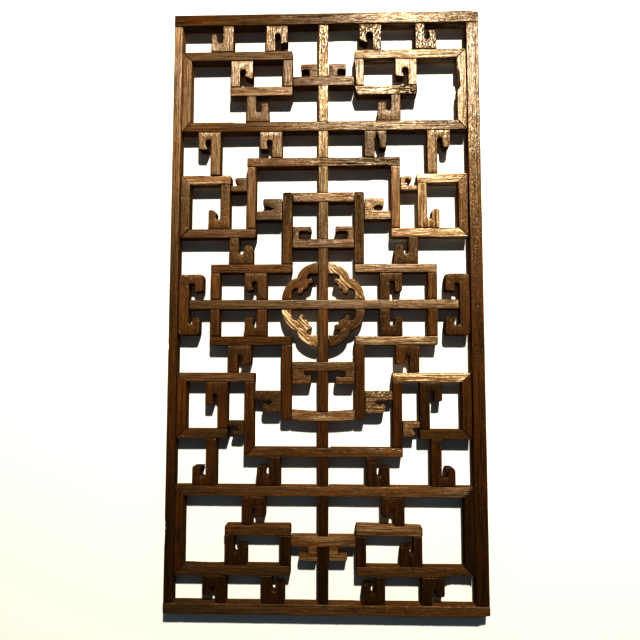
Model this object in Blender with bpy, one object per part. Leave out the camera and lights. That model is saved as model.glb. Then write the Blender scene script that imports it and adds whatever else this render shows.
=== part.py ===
"""Carved lattice window panel: an outer frame that holds bars, hooked fillers and a ring.

X runs to the right, Y from the front to the wall behind, Z up. The origin is the middle of the
top rail's back face, where the panel is fixed to the wall. Sizes are in millimetres and are
turned to metres where a mesh is made. The lattice is mirrored about its own centre, so a piece
of one quarter is given by its distances from that centre.
"""
import math
from collections import namedtuple

import bmesh
import bpy
from mathutils import Vector

MM = 0.001

# Outer frame
PANEL_WIDTH = 560.0
PANEL_HEIGHT = 1077.4
TOP_RAIL = 21.7
BOTTOM_RAIL = 18.7
LEFT_STILE = 15.7
RIGHT_STILE = 22.7
FRAME_DEPTH = 28.0

# Lattice: its centre from the panel's centre, its depth, and how far its front is set back
LATTICE_X = -3.5
LATTICE_Z = -3.2
LATTICE_DEPTH = 26.0
SET_BACK = 1.0

# Clearance between separate pieces, overlap of pieces glued into one, and level differences
FIT = 0.3
JOIN = 0.7
MITRE_JOIN = 0.4
LEVEL = 0.3
ARRIS = 0.8

# Upright lines: distance of the outer edge from the lattice's centre, and the width
CENTRE_POST = 18.0
INNER_POST = (73.5, 17.5)
SMALL_POST = (74.5, 18.0)
STEP_POST = (138.5, 16.5)
SIDE_POST = (186.5, 17.5)
ARM_POST = (202.5, 17.0)
SIDE_EDGE = (259.4, 17.0)
CORNER_EDGE = (260.4, 17.0)

# Level lines, in the same way
CENTRE_RAIL = 17.5
ARM_BAR = (72.8, 16.1)
INNER_BRIDGE = (118.5, 17.0)
SIDE_INNER_BAR = (137.5, 16.5)
END_RAIL = (203.8, 17.8)
SIDE_OUTER_BAR = (236.8, 17.0)
STEP_RAIL = (268.5, 16.5)
CROSS_RAIL = (336.2, 18.2)
SMALL_BAR = (402.7, 17.7)
OUTER_BRIDGE = (421.2, 18.0)
SUB_RAIL = (470.5, 17.0)

# Ends of the bars that stop short
ARM_BAR_END = 202.0
SMALL_BAR_END = 171.0
SUB_RAIL_START = 57.0
SIDE_BAR_START = 168.0

# Hooks like a J: where the stem's back is, which way its tip lies (1 is away from the centre), the
# widths of stem, slot and tip, how thick the foot is and how far the tip reaches from the foot
Hook = namedtuple("Hook", "back towards stem slot tip thick reach", defaults=(18.0, 9.5, 13.5, 17.0, 33.5))
STANDING_HOOK = Hook(168.0, 1, thick=19.0, reach=35.5)
HANGING_HOOK = Hook(106.5, -1)
HOOKED_POST = Hook(170.7, -1, stem=15.5, slot=11.0, tip=13.0, thick=18.0)
LOW_HOOK = Hook(141.0, -1, thick=19.5, reach=35.0)
STEP_HOOK = Hook(74.5, 1, stem=19.0, slot=9.0)
SIDE_HOOK = Hook(187.5, 1, stem=18.5, slot=9.0, tip=14.0, thick=15.0)
SIDE_POST_HOOK = Hook(169.0, 1, stem=17.5, slot=10.5, tip=12.0, thick=15.0)
ARM_HIGH_HOOK = Hook(169.5, -1, stem=17.5, slot=8.0, tip=16.5, thick=18.0, reach=34.0)
ARM_LOW_HOOK = Hook(100.5, 1, slot=9.0, thick=15.7, reach=32.7)
BRACKET = Hook(259.4, -1, slot=10.0, tip=15.0, thick=17.5, reach=31.0)
BRACKET_HALF = 55.0
BRACKET_ROUND = 5.0
HOOK_BARB = 1.6

# Squat hooks like a C: foot, stem beside a gap, and a cap with a curl at its end
Lug = namedtuple("Lug", "start base foot stem gap cap cap_length")
SIDE_STUB = Lug(138.8, 206.0, 9.0, 13.0, 9.5, 7.5, 22.0)
BRIDGE_HOOK = Lug(73.8, 153.0, 16.0, 17.0, 10.0, 13.5, 35.0)
LUG_CURL = 2.5
CURL_WIDTH = 6.0

# Hooks carved on the bridges: near and far side of the stem, the cap's end, its thickness, its top
Cap = namedtuple("Cap", "near far end thick top")
INNER_CAP = Cap(42.8, 55.2, 21.5, 9.5, 23.0)
OUTER_CAP = Cap(9.8, 26.3, 41.5, 11.0, 23.8)
CORNER_ROUND = 3.0

# Ring: two lobes in each quarter, and the cloud head inside
LOBE_CENTRE = 45.0
LOBE_WIDE = 47.0
LOBE_HIGH = 30.0
RING_INSIDE = 55.5
HEAD_MIDDLE = 31.5
HORN_CENTRE = (22.5, 40.8)
HORN_RADIUS = 2.8
POCKET_X = 25.5

# Damage that changes an outline: the corner post's chip and the bowed end rail
CHIP_FROM = 391.0
CHIP_TO = 435.0
CHIP_DEPTH = 5.0
END_RAIL_BOW = 3.0

WOOD_FRAME = (0.165, 0.075, 0.028)
WOOD_LATTICE = (0.215, 0.105, 0.040)
WOOD_HOOK = (0.185, 0.088, 0.034)
WOOD_ROUGHNESS = 0.42

FRAME_FRONT = -FRAME_DEPTH
LATTICE_FRONT = FRAME_FRONT + SET_BACK
LATTICE_BACK = LATTICE_FRONT + LATTICE_DEPTH
LAP = (LATTICE_FRONT + LATTICE_BACK) / 2
ORIGIN_Z = PANEL_HEIGHT / 2 - TOP_RAIL / 2

QUARTERS = {
    "upper_left": (-1, 1),
    "upper_right": (1, 1),
    "lower_left": (-1, -1),
    "lower_right": (1, -1),
}
HALVES = {"upper": 1, "lower": -1}


def clear_scene():
    """Remove whatever the scene holds."""
    for obj in list(bpy.data.objects):
        bpy.data.objects.remove(obj)


def wood(name, colour):
    """Stained, varnished wood of one colour."""
    material = bpy.data.materials.get(name)
    if material is None:
        material = bpy.data.materials.new(name)
        material.use_nodes = True
        shader = material.node_tree.nodes["Principled BSDF"]
        shader.inputs["Base Color"].default_value = (*colour, 1.0)
        shader.inputs["Roughness"].default_value = WOOD_ROUGHNESS
        shader.inputs["Metallic"].default_value = 0.0
    return material


def edges(line):
    """Inner and outer edge of a line given as outer edge and width."""
    outer, width = line
    return outer - width, outer


def frame_edge(side):
    """Distance from the lattice's centre to the frame's rail, above (1) or below (-1)."""
    rail = TOP_RAIL if side > 0 else BOTTOM_RAIL
    return PANEL_HEIGHT / 2 - rail - side * LATTICE_Z


def in_lattice(points, quarter=(1, 1)):
    """Turn distances from the lattice's centre into places on the panel."""
    return [(LATTICE_X + quarter[0] * x, LATTICE_Z + quarter[1] * z) for x, z in points]


def rectangle(x0, x1, z0, z1):
    """Four corners of an upright rectangle."""
    return [(x0, z0), (x1, z0), (x1, z1), (x0, z1)]


def arc(centre, radius, start, end, steps):
    """Points on an arc, its angles in degrees from the first axis."""
    turns = [math.radians(start + (end - start) * n / steps) for n in range(steps + 1)]
    return [(centre[0] + radius * math.cos(a), centre[1] + radius * math.sin(a)) for a in turns]


def signed_area(points):
    """Area of an outline, positive where it runs anticlockwise."""
    following = points[1:] + points[:1]
    return sum(a[0] * b[1] - b[0] * a[1] for a, b in zip(points, following)) / 2


def inset(points, depth):
    """Move each side of an outline inwards by a depth and meet the sides again."""
    inward = math.copysign(1.0, signed_area(points))
    result = []
    for n, here in enumerate(points):
        before = Vector(here) - Vector(points[n - 1])
        after = Vector(points[(n + 1) % len(points)]) - Vector(here)
        normals = [Vector((-d.y, d.x)).normalized() * inward for d in (before, after)]
        middle = normals[0] + normals[1]
        result.append(Vector(here) + middle * (depth * 2 / middle.length_squared))
    return result


def board(name, outline, front, back, arris=0.0):
    """A closed board: an outline on the panel carried from front to back, its long edges eased."""
    layers = [(front, outline), (back, outline)]
    if arris:
        eased = inset(outline, arris)
        layers = [(front, eased), (front + arris, outline), (back - arris, outline), (back, eased)]
    work = bmesh.new()
    rings = []
    for depth, points in layers:
        corners = [(x * MM, depth * MM, (z - ORIGIN_Z) * MM) for x, z in points]
        rings.append([work.verts.new(corner) for corner in corners])
    for near, far in zip(rings, rings[1:]):
        for n in range(len(near)):
            after = (n + 1) % len(near)
            work.faces.new((near[n], near[after], far[after], far[n]))
    work.faces.new(rings[0])
    work.faces.new(rings[-1])
    bmesh.ops.recalc_face_normals(work, faces=work.faces)
    mesh = bpy.data.meshes.new(name)
    work.to_mesh(mesh)
    work.free()
    obj = bpy.data.objects.new(name, mesh)
    bpy.context.collection.objects.link(obj)
    return obj


def lattice_board(name, outline, quarter=(1, 1), level=0.0, arris=ARRIS):
    """A board of the lattice, set in from both faces by a level."""
    front, back = LATTICE_FRONT + level, LATTICE_BACK - level
    return board(name, in_lattice(outline, quarter), front, back, arris)


def hide(obj):
    """Keep a helper solid out of the finished part."""
    obj.hide_render = True
    obj.display_type = "WIRE"


def combine(obj, helper, operation):
    """Join a helper solid to an object, or cut it away."""
    hide(helper)
    step = obj.modifiers.new(helper.name, "BOOLEAN")
    step.operation = operation
    step.solver = "EXACT"
    step.object = helper


def glue(obj, *helpers):
    """Join pieces that are glued to an object."""
    for helper in helpers:
        combine(obj, helper, "UNION")


def hook_outline(hook, foot, end, corner=0.0):
    """Outline of a hook like a J: across from the stem's back, and up from the foot.

    foot and end are the heights of the foot's underside and of the stem's end. The tip ends in
    a half round with a small barb towards the stem, and the slot has a round root.
    """
    inner = hook.stem + hook.slot
    wide = inner + hook.tip
    root = (hook.stem + hook.slot / 2, hook.thick + hook.slot / 2)
    outline = [(0, foot)]
    outline += arc((wide - corner, foot + corner), corner, -90, 0, 3) if corner else [(wide, foot)]
    outline += arc((wide - hook.tip / 2, hook.reach - hook.tip / 2), hook.tip / 2, 0, 150, 4)
    outline += [(inner - HOOK_BARB, hook.reach - hook.tip * 0.75), (inner, root[1])]
    outline += arc(root, hook.slot / 2, -45, -135, 2)
    outline += [(hook.stem, root[1]), (hook.stem, end), (0, end)]
    return outline


def set_outline(outline, back, towards, foot, up):
    """Place a hook's outline: its stem's back, the way to its tip, its foot and the way up."""
    return [(back + towards * across, foot + up * high) for across, high in outline]


def set_hook(hook, foot, up, low, end, corner=0.0):
    """Outline of a hook in its place; low and end are its foot's and its stem's end."""
    return set_outline(hook_outline(hook, low, end, corner), hook.back, hook.towards, foot, up)


def lug_outline(lug, length):
    """Outline of a squat hook whose foot has a length: foot, stem, and a cap over a gap."""
    low = lug.foot + lug.gap
    high = low + lug.cap
    turn = lug.cap_length - CURL_WIDTH
    outline = [(0, 0), (length, 0), (length, lug.foot), (lug.stem, lug.foot), (lug.stem, low)]
    outline += [(turn, low), (turn + 1, low - LUG_CURL), (lug.cap_length - 1, low - LUG_CURL)]
    outline += arc((lug.cap_length - CORNER_ROUND, high - CORNER_ROUND), CORNER_ROUND, 0, 90, 2)
    outline += [(0, high)]
    return set_outline(outline, lug.start, 1, lug.base, 1)


def bridge_outline(half, line, cap):
    """Outline of a bridge bar with a carved hook on each half, a stem with a cap."""
    low, high = edges(line)
    over = high + cap.top
    under = over - cap.thick
    right = [(half, low), (half, high)]
    if cap.end > cap.far:
        right += [(cap.far, high), (cap.far, under), (cap.end, under)]
        right += arc((cap.end - CORNER_ROUND, over - CORNER_ROUND), CORNER_ROUND, 0, 90, 2)
        right += [(cap.near, over), (cap.near, high)]
    else:
        right += [(cap.far, high), (cap.far, over)]
        right += arc((cap.end + CORNER_ROUND, over - CORNER_ROUND), CORNER_ROUND, 90, 180, 2)
        right += [(cap.end, under), (cap.near, under), (cap.near, high)]
    return right + [(-x, z) for x, z in reversed(right)]


def ring_outline():
    """Outline of a ring quarter, the same on both sides of its diagonal.

    Outside it is two elliptic lobes that meet in a notch. Inside, a head with two horns stands
    between two round pockets.
    """
    first = math.asin((CENTRE_POST / 2 + FIT) / LOBE_WIDE)
    last = math.radians(86.3)
    turns = [first + (last - first) * n / 9 for n in range(10)]
    outside = [(LOBE_WIDE * math.sin(a), LOBE_CENTRE + LOBE_HIGH * math.cos(a)) for a in turns]
    pocket = (HORN_CENTRE[1] + HORN_RADIUS + RING_INSIDE) / 2
    inside = [(HEAD_MIDDLE, HEAD_MIDDLE)]
    inside += arc(HORN_CENTRE, HORN_RADIUS, -60, -270, 4)
    inside += arc((POCKET_X, pocket), RING_INSIDE - pocket, -90, 90, 4)
    inside += [(CENTRE_POST / 2 + FIT, RING_INSIDE)]
    outer_half = [(z, x) for x, z in outside[:-1]]
    inner_half = [(z, x) for x, z in inside[1:]]
    return outside + outer_half[::-1] + inner_half[::-1] + inside


def paint(obj, name, colour):
    """Give an object its material."""
    obj.data.materials.append(wood(name, colour))


def add_frame():
    """Four frame pieces: rails over the full width, and stiles between them."""
    wide, high = PANEL_WIDTH / 2, PANEL_HEIGHT / 2
    below, above = -high + BOTTOM_RAIL, high - TOP_RAIL
    outlines = {
        "top_rail": rectangle(-wide, wide, above, high),
        "bottom_rail": rectangle(-wide, wide, -high, below),
        "left_stile": rectangle(-wide, -wide + LEFT_STILE, below + FIT, above - FIT),
        "right_stile": rectangle(wide - RIGHT_STILE, wide, below + FIT, above - FIT),
    }
    for name, outline in outlines.items():
        paint(board(name, outline, FRAME_FRONT, 0.0, ARRIS), "frame_wood", WOOD_FRAME)


def crossing_lines():
    """Level bars that cross the centre post, as lower and upper edge."""
    lines = [(-CENTRE_RAIL / 2, CENTRE_RAIL / 2)]
    for line in (INNER_BRIDGE, END_RAIL, STEP_RAIL, CROSS_RAIL, OUTER_BRIDGE):
        low, high = edges(line)
        bow = END_RAIL_BOW if line == END_RAIL else 0.0
        lines += [(low, high), (-high - bow, -low - bow)]
    return lines


def add_centre_post():
    """The upright in the middle, halved from the front at each crossing."""
    half = CENTRE_POST / 2
    outline = rectangle(-half, half, FIT - frame_edge(-1), frame_edge(1) - FIT)
    post = lattice_board("centre_post", outline, level=LEVEL)
    paint(post, "lattice_wood", WOOD_LATTICE)
    for number, (low, high) in enumerate(crossing_lines()):
        notch = in_lattice(rectangle(-CENTRE_POST, CENTRE_POST, low - FIT, high + FIT))
        name = f"post_notch_{number}"
        combine(post, board(name, notch, FRAME_FRONT - SET_BACK, LAP + FIT / 2), "DIFFERENCE")


def add_lap_cutter():
    """The space that the centre post takes behind every level bar."""
    half = CENTRE_POST / 2 + FIT
    reach = PANEL_HEIGHT / 2
    cutter = board("lap_cutter", in_lattice(rectangle(-half, half, -reach, reach)), LAP - FIT / 2, FIT)
    hide(cutter)
    return cutter


def crossing_bar(name, outline, cutter, side=1):
    """A level bar halved from behind where it crosses the centre post."""
    bar = lattice_board(name, outline, (1, side))
    combine(bar, cutter, "DIFFERENCE")
    paint(bar, "lattice_wood", WOOD_LATTICE)
    return bar


def bowed_bar(half, line, bow, steps=8):
    """Outline of a bar that bows outwards in the middle, both long sides on a parabola."""
    low, high = edges(line)
    places = [half * (2 * n / steps - 1) for n in range(steps + 1)]
    rise = [bow * (1 - (x / half) ** 2) for x in places]
    lower = [(x, low + r) for x, r in zip(places, rise)]
    upper = [(x, high + r) for x, r in zip(places, rise)]
    return lower + upper[::-1]


def add_crossing_bars(cutter):
    """Every level bar that crosses the centre post."""
    stem_face = BRACKET.back - BRACKET.stem - FIT
    rail = rectangle(-stem_face, stem_face, -CENTRE_RAIL / 2, CENTRE_RAIL / 2)
    crossing_bar("centre_rail", rail, cutter)
    low, high = edges(CROSS_RAIL)
    inner, outer = edges(CORNER_EDGE)
    slack = FIT / math.sqrt(2)
    cross = [(slack - outer, low), (outer - slack, low), (inner - slack, high), (slack - inner, high)]
    for half_name, side in HALVES.items():
        crossing_bar(f"{half_name}_cross_rail", cross, cutter, side)
        wide = STEP_POST[0]
        crossing_bar(f"step_rail_{half_name}", rectangle(-wide, wide, *edges(STEP_RAIL)), cutter, side)
        wide = edges(INNER_POST)[0] - FIT
        bow = END_RAIL_BOW if side < 0 else 0.0
        end = bowed_bar(wide, END_RAIL, bow) if bow else rectangle(-wide, wide, *edges(END_RAIL))
        crossing_bar(f"end_rail_{half_name}", end, cutter, side)
        inner_bridge = bridge_outline(wide, INNER_BRIDGE, INNER_CAP)
        crossing_bar(f"inner_bridge_{half_name}", inner_bridge, cutter, side)
        outer_bridge = bridge_outline(edges(SMALL_POST)[0] - FIT, OUTER_BRIDGE, OUTER_CAP)
        crossing_bar(f"outer_bridge_{half_name}", outer_bridge, cutter, side)


def add_corner_post(place, quarter):
    """Upright at the lattice's outer corner, mitred to the sub-rail and to the cross rail."""
    inner, outer = edges(CORNER_EDGE)
    sub_low, sub_high = edges(SUB_RAIL)
    cross_low, cross_high = edges(CROSS_RAIL)
    slack = FIT / math.sqrt(2)
    outline = [(inner, cross_high + slack), (outer, cross_low + slack)]
    outline += [(outer, sub_high - slack), (inner, sub_low - slack)]
    if place == "upper_right":
        middle, half = (CHIP_FROM + CHIP_TO) / 2, (CHIP_TO - CHIP_FROM) / 2
        turns = [math.radians(angle) for angle in (0, 45, 90, 135, 180)]
        chip = [(inner + CHIP_DEPTH * math.sin(a), middle + half * math.cos(a)) for a in turns]
        outline += chip
    post = lattice_board(f"corner_post_{place}", outline, quarter, arris=0.5)
    paint(post, "lattice_wood", WOOD_LATTICE)


def add_sub_rail(place, quarter):
    """Bar below the frame's rail, with the two hooked fillers that stand on it."""
    low, high = edges(SUB_RAIL)
    inner, outer = edges(CORNER_EDGE)
    slack = FIT / math.sqrt(2)
    outline = [(SUB_RAIL_START, low), (inner - slack, low), (outer - slack, high)]
    outline += [(SUB_RAIL_START, high)]
    rail = lattice_board(f"sub_rail_{place}", outline, quarter)
    gap = frame_edge(quarter[1]) - high
    standing = set_hook(STANDING_HOOK, high, 1, -JOIN, gap - FIT)
    hanging = set_hook(HANGING_HOOK, high + gap, -1, FIT, gap + JOIN)
    glue(rail, lattice_board(f"standing_hook_{place}", standing, quarter, LEVEL, 0.0),
         lattice_board(f"hanging_hook_{place}", hanging, quarter, LEVEL, 0.0))
    paint(rail, "lattice_wood", WOOD_LATTICE)


def add_small_frame(place, quarter):
    """Small frame under the sub-rail: bar, inner post, hooked post, and the hook below the bar."""
    low, high = edges(SMALL_BAR)
    sub_low = edges(SUB_RAIL)[0]
    inner, outer = edges(SMALL_POST)
    bar = lattice_board(f"small_frame_{place}", rectangle(inner, SMALL_BAR_END, low, high), quarter)
    post = rectangle(inner + LEVEL, outer, high - JOIN, sub_low - FIT)
    hooked = set_hook(HOOKED_POST, sub_low, -1, FIT, sub_low - high + JOIN)
    cross_high = CROSS_RAIL[0]
    below = set_hook(LOW_HOOK, cross_high, 1, FIT, low - cross_high + JOIN)
    glue(bar, lattice_board(f"small_post_{place}", post, quarter, LEVEL),
         lattice_board(f"hooked_post_{place}", hooked, quarter, LEVEL, 0.0),
         lattice_board(f"low_hook_{place}", below, quarter, LEVEL, 0.0))
    paint(bar, "lattice_wood", WOOD_LATTICE)


def add_step(place, quarter):
    """Step post, and the hook between the cross rail and the step rail."""
    foot, end = SIDE_INNER_BAR[0] + FIT, edges(STEP_RAIL)[0] - FIT
    outline = rectangle(*edges(STEP_POST), foot, end)
    post = lattice_board(f"step_post_{place}", outline, quarter, LEVEL)
    paint(post, "lattice_wood", WOOD_LATTICE)
    under = edges(CROSS_RAIL)[0]
    outline = set_hook(STEP_HOOK, under, -1, FIT, under - STEP_RAIL[0] - FIT)
    hook = lattice_board(f"step_hook_{place}", outline, quarter, LEVEL, 0.0)
    paint(hook, "hook_wood", WOOD_HOOK)


def add_side_frame(place, quarter):
    """Side frame: edge post, outer and inner bar, hooked inner post, and the stub and hook on them."""
    bar_low, bar_high = edges(SIDE_OUTER_BAR)
    foot_low, foot_high = edges(SIDE_INNER_BAR)
    inner, outer = edges(SIDE_EDGE)
    post_edge = [(inner, foot_high - MITRE_JOIN), (outer, foot_low - MITRE_JOIN)]
    post_edge += [(outer, bar_high + MITRE_JOIN), (inner, bar_low + MITRE_JOIN)]
    frame = lattice_board(f"side_frame_{place}", post_edge, quarter)
    outer_bar = [(SIDE_BAR_START, bar_low), (inner, bar_low)]
    outer_bar += [(outer, bar_high), (SIDE_BAR_START, bar_high)]
    start = edges(STEP_POST)[0] - LEVEL
    inner_bar = [(start, foot_low), (outer, foot_low), (inner, foot_high), (start, foot_high)]
    post = set_hook(SIDE_POST_HOOK, foot_high, 1, -JOIN, bar_low - foot_high + JOIN)
    stub = lug_outline(SIDE_STUB, SIDE_POST_HOOK.back - SIDE_STUB.start + JOIN)
    under = edges(CROSS_RAIL)[0]
    hook = set_hook(SIDE_HOOK, under, -1, FIT, under - bar_high + JOIN)
    glue(frame, lattice_board(f"side_outer_bar_{place}", outer_bar, quarter, LEVEL),
         lattice_board(f"side_inner_bar_{place}", inner_bar, quarter, LEVEL),
         lattice_board(f"side_post_{place}", post, quarter, 2 * LEVEL, 0.0),
         lattice_board(f"side_stub_{place}", stub, quarter, 3 * LEVEL, 0.0),
         lattice_board(f"side_hook_{place}", hook, quarter, 2 * LEVEL, 0.0))
    paint(frame, "lattice_wood", WOOD_LATTICE)


def add_bridge_hook(place, quarter):
    """Squat hook between the inner post and the step post."""
    length = edges(STEP_POST)[0] - FIT - BRIDGE_HOOK.start
    outline = lug_outline(BRIDGE_HOOK, length)
    hook = lattice_board(f"bridge_hook_{place}", outline, quarter, LEVEL, 0.0)
    paint(hook, "hook_wood", WOOD_HOOK)


def add_inner_post(place, quarter):
    """Upright beside the ring, from the arm bar past the end rail, its outer corner rounded."""
    inner, outer = edges(INNER_POST)
    top = END_RAIL[0]
    outline = [(inner, ARM_BAR[0] + FIT), (outer, ARM_BAR[0] + FIT)]
    outline += arc((outer - CORNER_ROUND, top - CORNER_ROUND), CORNER_ROUND, 0, 90, 3)
    outline += [(inner, top)]
    post = lattice_board(f"inner_post_{place}", outline, quarter, LEVEL)
    paint(post, "lattice_wood", WOOD_LATTICE)


def add_cross_arm(place, quarter):
    """Arm bar with its post and hook down to the centre rail, and its hook up to the side frame."""
    low, high = edges(ARM_BAR)
    start = edges(INNER_POST)[0] + LEVEL
    arm = lattice_board(f"cross_arm_{place}", rectangle(start, ARM_BAR_END, low, high), quarter)
    rail = CENTRE_RAIL / 2
    inner = edges(ARM_POST)[0]
    post = rectangle(inner, ARM_BAR_END - LEVEL, rail + FIT, low + JOIN)
    below = set_hook(ARM_LOW_HOOK, low, -1, -JOIN, low - rail - FIT)
    side_low = edges(SIDE_INNER_BAR)[0]
    above = set_hook(ARM_HIGH_HOOK, high, 1, -JOIN, side_low - high - FIT)
    glue(arm, lattice_board(f"arm_post_{place}", post, quarter, LEVEL),
         lattice_board(f"arm_low_hook_{place}", below, quarter, LEVEL, 0.0),
         lattice_board(f"arm_high_hook_{place}", above, quarter, LEVEL, 0.0))
    paint(arm, "lattice_wood", WOOD_LATTICE)


def add_bracket(name, side):
    """Bracket against a stile: one stem with a hook above and a hook below the centre rail."""
    upper = set_hook(BRACKET, BRACKET_HALF, -1, 0.0, BRACKET_HALF, BRACKET_ROUND)[:-2]
    lower = [(x, -z) for x, z in reversed(upper)]
    bracket = lattice_board(f"stile_bracket_{name}", upper + lower, (side, 1), LEVEL, 0.0)
    paint(bracket, "hook_wood", WOOD_HOOK)


def add_ring_quarter(place, quarter):
    """Quarter of the ring, between the centre post and the centre rail."""
    piece = lattice_board(f"ring_quarter_{place}", ring_outline(), quarter, LEVEL, 0.0)
    paint(piece, "hook_wood", WOOD_HOOK)


def build():
    """Make every piece of the panel."""
    clear_scene()
    add_frame()
    add_centre_post()
    add_crossing_bars(add_lap_cutter())
    for place, quarter in QUARTERS.items():
        add_corner_post(place, quarter)
        add_sub_rail(place, quarter)
        add_small_frame(place, quarter)
        add_step(place, quarter)
        add_side_frame(place, quarter)
        add_bridge_hook(place, quarter)
        add_inner_post(place, quarter)
        add_cross_arm(place, quarter)
        add_ring_quarter(place, quarter)
    add_bracket("left", -1)
    add_bracket("right", 1)


build()
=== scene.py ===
"""Old carved window lattice, fixed to a pale wall.

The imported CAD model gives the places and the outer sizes. Every piece of wood is made here again
as a worn, hand-cut board: two edge curves run along the piece, a section with eased corners is
carried between them, and noise that follows the grain wears the surface. Lengths in the shapes are
in millimetres and are turned to metres where a mesh is made. X runs to the right, Y from the front
to the wall, Z up; a piece of one quarter is given by its distances from the lattice's centre.
"""
import math
from collections import namedtuple
from functools import partial

import bpy
import numpy as np
from mathutils import Euler, Matrix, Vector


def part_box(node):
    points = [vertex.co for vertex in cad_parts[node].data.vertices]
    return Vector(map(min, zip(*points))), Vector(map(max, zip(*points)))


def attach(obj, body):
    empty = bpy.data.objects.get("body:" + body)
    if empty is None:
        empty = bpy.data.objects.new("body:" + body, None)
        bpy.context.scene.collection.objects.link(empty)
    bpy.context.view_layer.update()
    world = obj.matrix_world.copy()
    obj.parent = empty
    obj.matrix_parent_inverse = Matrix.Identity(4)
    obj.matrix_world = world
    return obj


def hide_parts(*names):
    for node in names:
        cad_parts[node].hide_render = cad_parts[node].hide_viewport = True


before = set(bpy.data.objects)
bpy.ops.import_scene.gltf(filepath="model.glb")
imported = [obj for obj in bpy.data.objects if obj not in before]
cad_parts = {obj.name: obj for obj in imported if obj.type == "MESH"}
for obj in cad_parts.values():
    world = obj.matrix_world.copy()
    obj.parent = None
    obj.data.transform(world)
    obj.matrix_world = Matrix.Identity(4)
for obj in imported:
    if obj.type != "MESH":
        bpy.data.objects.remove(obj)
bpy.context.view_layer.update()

bl_info = {
    "name": "Carved Window Lattice",
    "version": (1, 0, 0),
    "blender": (4, 5, 0),
    "location": "View3D > Sidebar > Lattice",
    "description": "Old wooden window lattice with hooked fillers and a ring, in a plain frame",
    "category": "Add Mesh",
}

MM = 0.001


def box_mm(node):
    """Lowest and highest corner of a CAD node in millimetres."""
    return [np.array(corner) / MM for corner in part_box(node)]


# Outer frame, read from the CAD nodes
TOP_BOX = box_mm("top_rail")
BOTTOM_BOX = box_mm("bottom_rail")
LEFT_BOX = box_mm("left_stile")
RIGHT_BOX = box_mm("right_stile")
POST_BOX = box_mm("centre_post")
RAIL_BOX = box_mm("centre_rail")
PANEL_WIDTH = TOP_BOX[1][0] - TOP_BOX[0][0]
PANEL_HEIGHT = TOP_BOX[1][2] - BOTTOM_BOX[0][2]
TOP_RAIL = TOP_BOX[1][2] - TOP_BOX[0][2]
BOTTOM_RAIL = BOTTOM_BOX[1][2] - BOTTOM_BOX[0][2]
LEFT_STILE = LEFT_BOX[1][0] - LEFT_BOX[0][0]
RIGHT_STILE = RIGHT_BOX[1][0] - RIGHT_BOX[0][0]
FRAME_DEPTH = TOP_BOX[1][1] - TOP_BOX[0][1]
PANEL_CENTRE_Z = (TOP_BOX[1][2] + BOTTOM_BOX[0][2]) / 2
LATTICE_X = (POST_BOX[0][0] + POST_BOX[1][0]) / 2
LATTICE_Z = (RAIL_BOX[0][2] + RAIL_BOX[1][2]) / 2 - PANEL_CENTRE_Z
LATTICE_FRONT = RAIL_BOX[0][1]
LATTICE_BACK = RAIL_BOX[1][1]
LAP = (LATTICE_FRONT + LATTICE_BACK) / 2

# The four quarters and the two halves: which way X and Z run away from the lattice's centre
QUARTERS = {
    "upper_left": (-1, 1),
    "upper_right": (1, 1),
    "lower_left": (-1, -1),
    "lower_right": (1, -1),
}
HALVES = {"upper": (1, 1), "lower": (1, -1)}

# Ways of the grain
LEVEL = (1.0, 0.0)
UPRIGHT = (0.0, 1.0)
SLANTED = (math.sqrt(0.5), -math.sqrt(0.5))


def by_quarter(rows):
    """Values of single pieces, from rows by kind that follow the order of the quarters."""
    return {f"{kind}_{place}": value for kind, row in rows.items()
            for place, value in zip(QUARTERS, row) if value is not None}


# Clearance between pieces
FIT = 0.3

# Upright lines: distance of the outer edge from the lattice's centre, and the width
CENTRE_POST = 18.0
INNER_POST = (73.5, 17.5)
SMALL_POST = (74.5, 18.0)
STEP_POST = (138.5, 16.5)
ARM_POST = (202.5, 17.0)
SIDE_EDGE = (259.4, 17.0)
CORNER_EDGE = (260.4, 17.0)

# Level lines, in the same way
CENTRE_RAIL = 17.5
ARM_BAR = (72.8, 16.1)
INNER_BRIDGE = (118.5, 17.0)
SIDE_INNER_BAR = (137.5, 16.5)
END_RAIL = (203.8, 17.8)
SIDE_OUTER_BAR = (236.8, 17.0)
STEP_RAIL = (268.5, 16.5)
CROSS_RAIL = (336.2, 18.2)
SMALL_BAR = (402.7, 17.7)
OUTER_BRIDGE = (421.2, 18.0)
SUB_RAIL = (470.5, 17.0)

# Ends of the bars that stop short
ARM_BAR_END = 202.0
SMALL_BAR_END = 171.0
SUB_RAIL_START = 57.0
SIDE_BAR_START = 168.0

# Hooks like a J: where the stem's back is, which way the tip lies (1 is away from the centre), the
# widths of stem, slot and tip, how thick the foot is, how far the tip reaches from the foot, how much
# shorter the tip is on the slot's side, how far its beak stands into the slot, the radii of the tip's
# outer and inner corner and of the slot's root, how far the foot flares out, and how far the slot's
# root runs on in a point
Hook = namedtuple(
    "Hook", "back towards stem slot tip thick reach slope beak outer_round inner_round root flare peak",
    defaults=(18.0, 9.0, 13.5, 17.0, 33.5, 0.0, 1.8, 3.2, 0.8, 9.0, 0.0, 0.0))
STANDING_HOOK = Hook(168.0, 1, slot=8.0, thick=19.0, reach=35.5)
HANGING_HOOK = Hook(106.5, -1)
HOOKED_POST = Hook(170.7, -1, stem=15.5, slot=11.0, tip=13.0, thick=18.0)
LOW_HOOK = Hook(141.0, -1, thick=19.5, reach=35.0)
STEP_HOOK = Hook(74.5, 1, stem=19.0)
SIDE_HOOK = Hook(187.5, 1, stem=18.5, tip=14.0, thick=15.0)
SIDE_POST_HOOK = Hook(169.0, 1, stem=17.5, slot=8.0, tip=14.0, thick=16.5)
ARM_HIGH_HOOK = Hook(169.5, -1, stem=17.5, slot=8.0, tip=16.5, thick=18.0, reach=34.0)
ARM_LOW_HOOK = Hook(100.5, 1, thick=15.7, reach=32.7)
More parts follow.
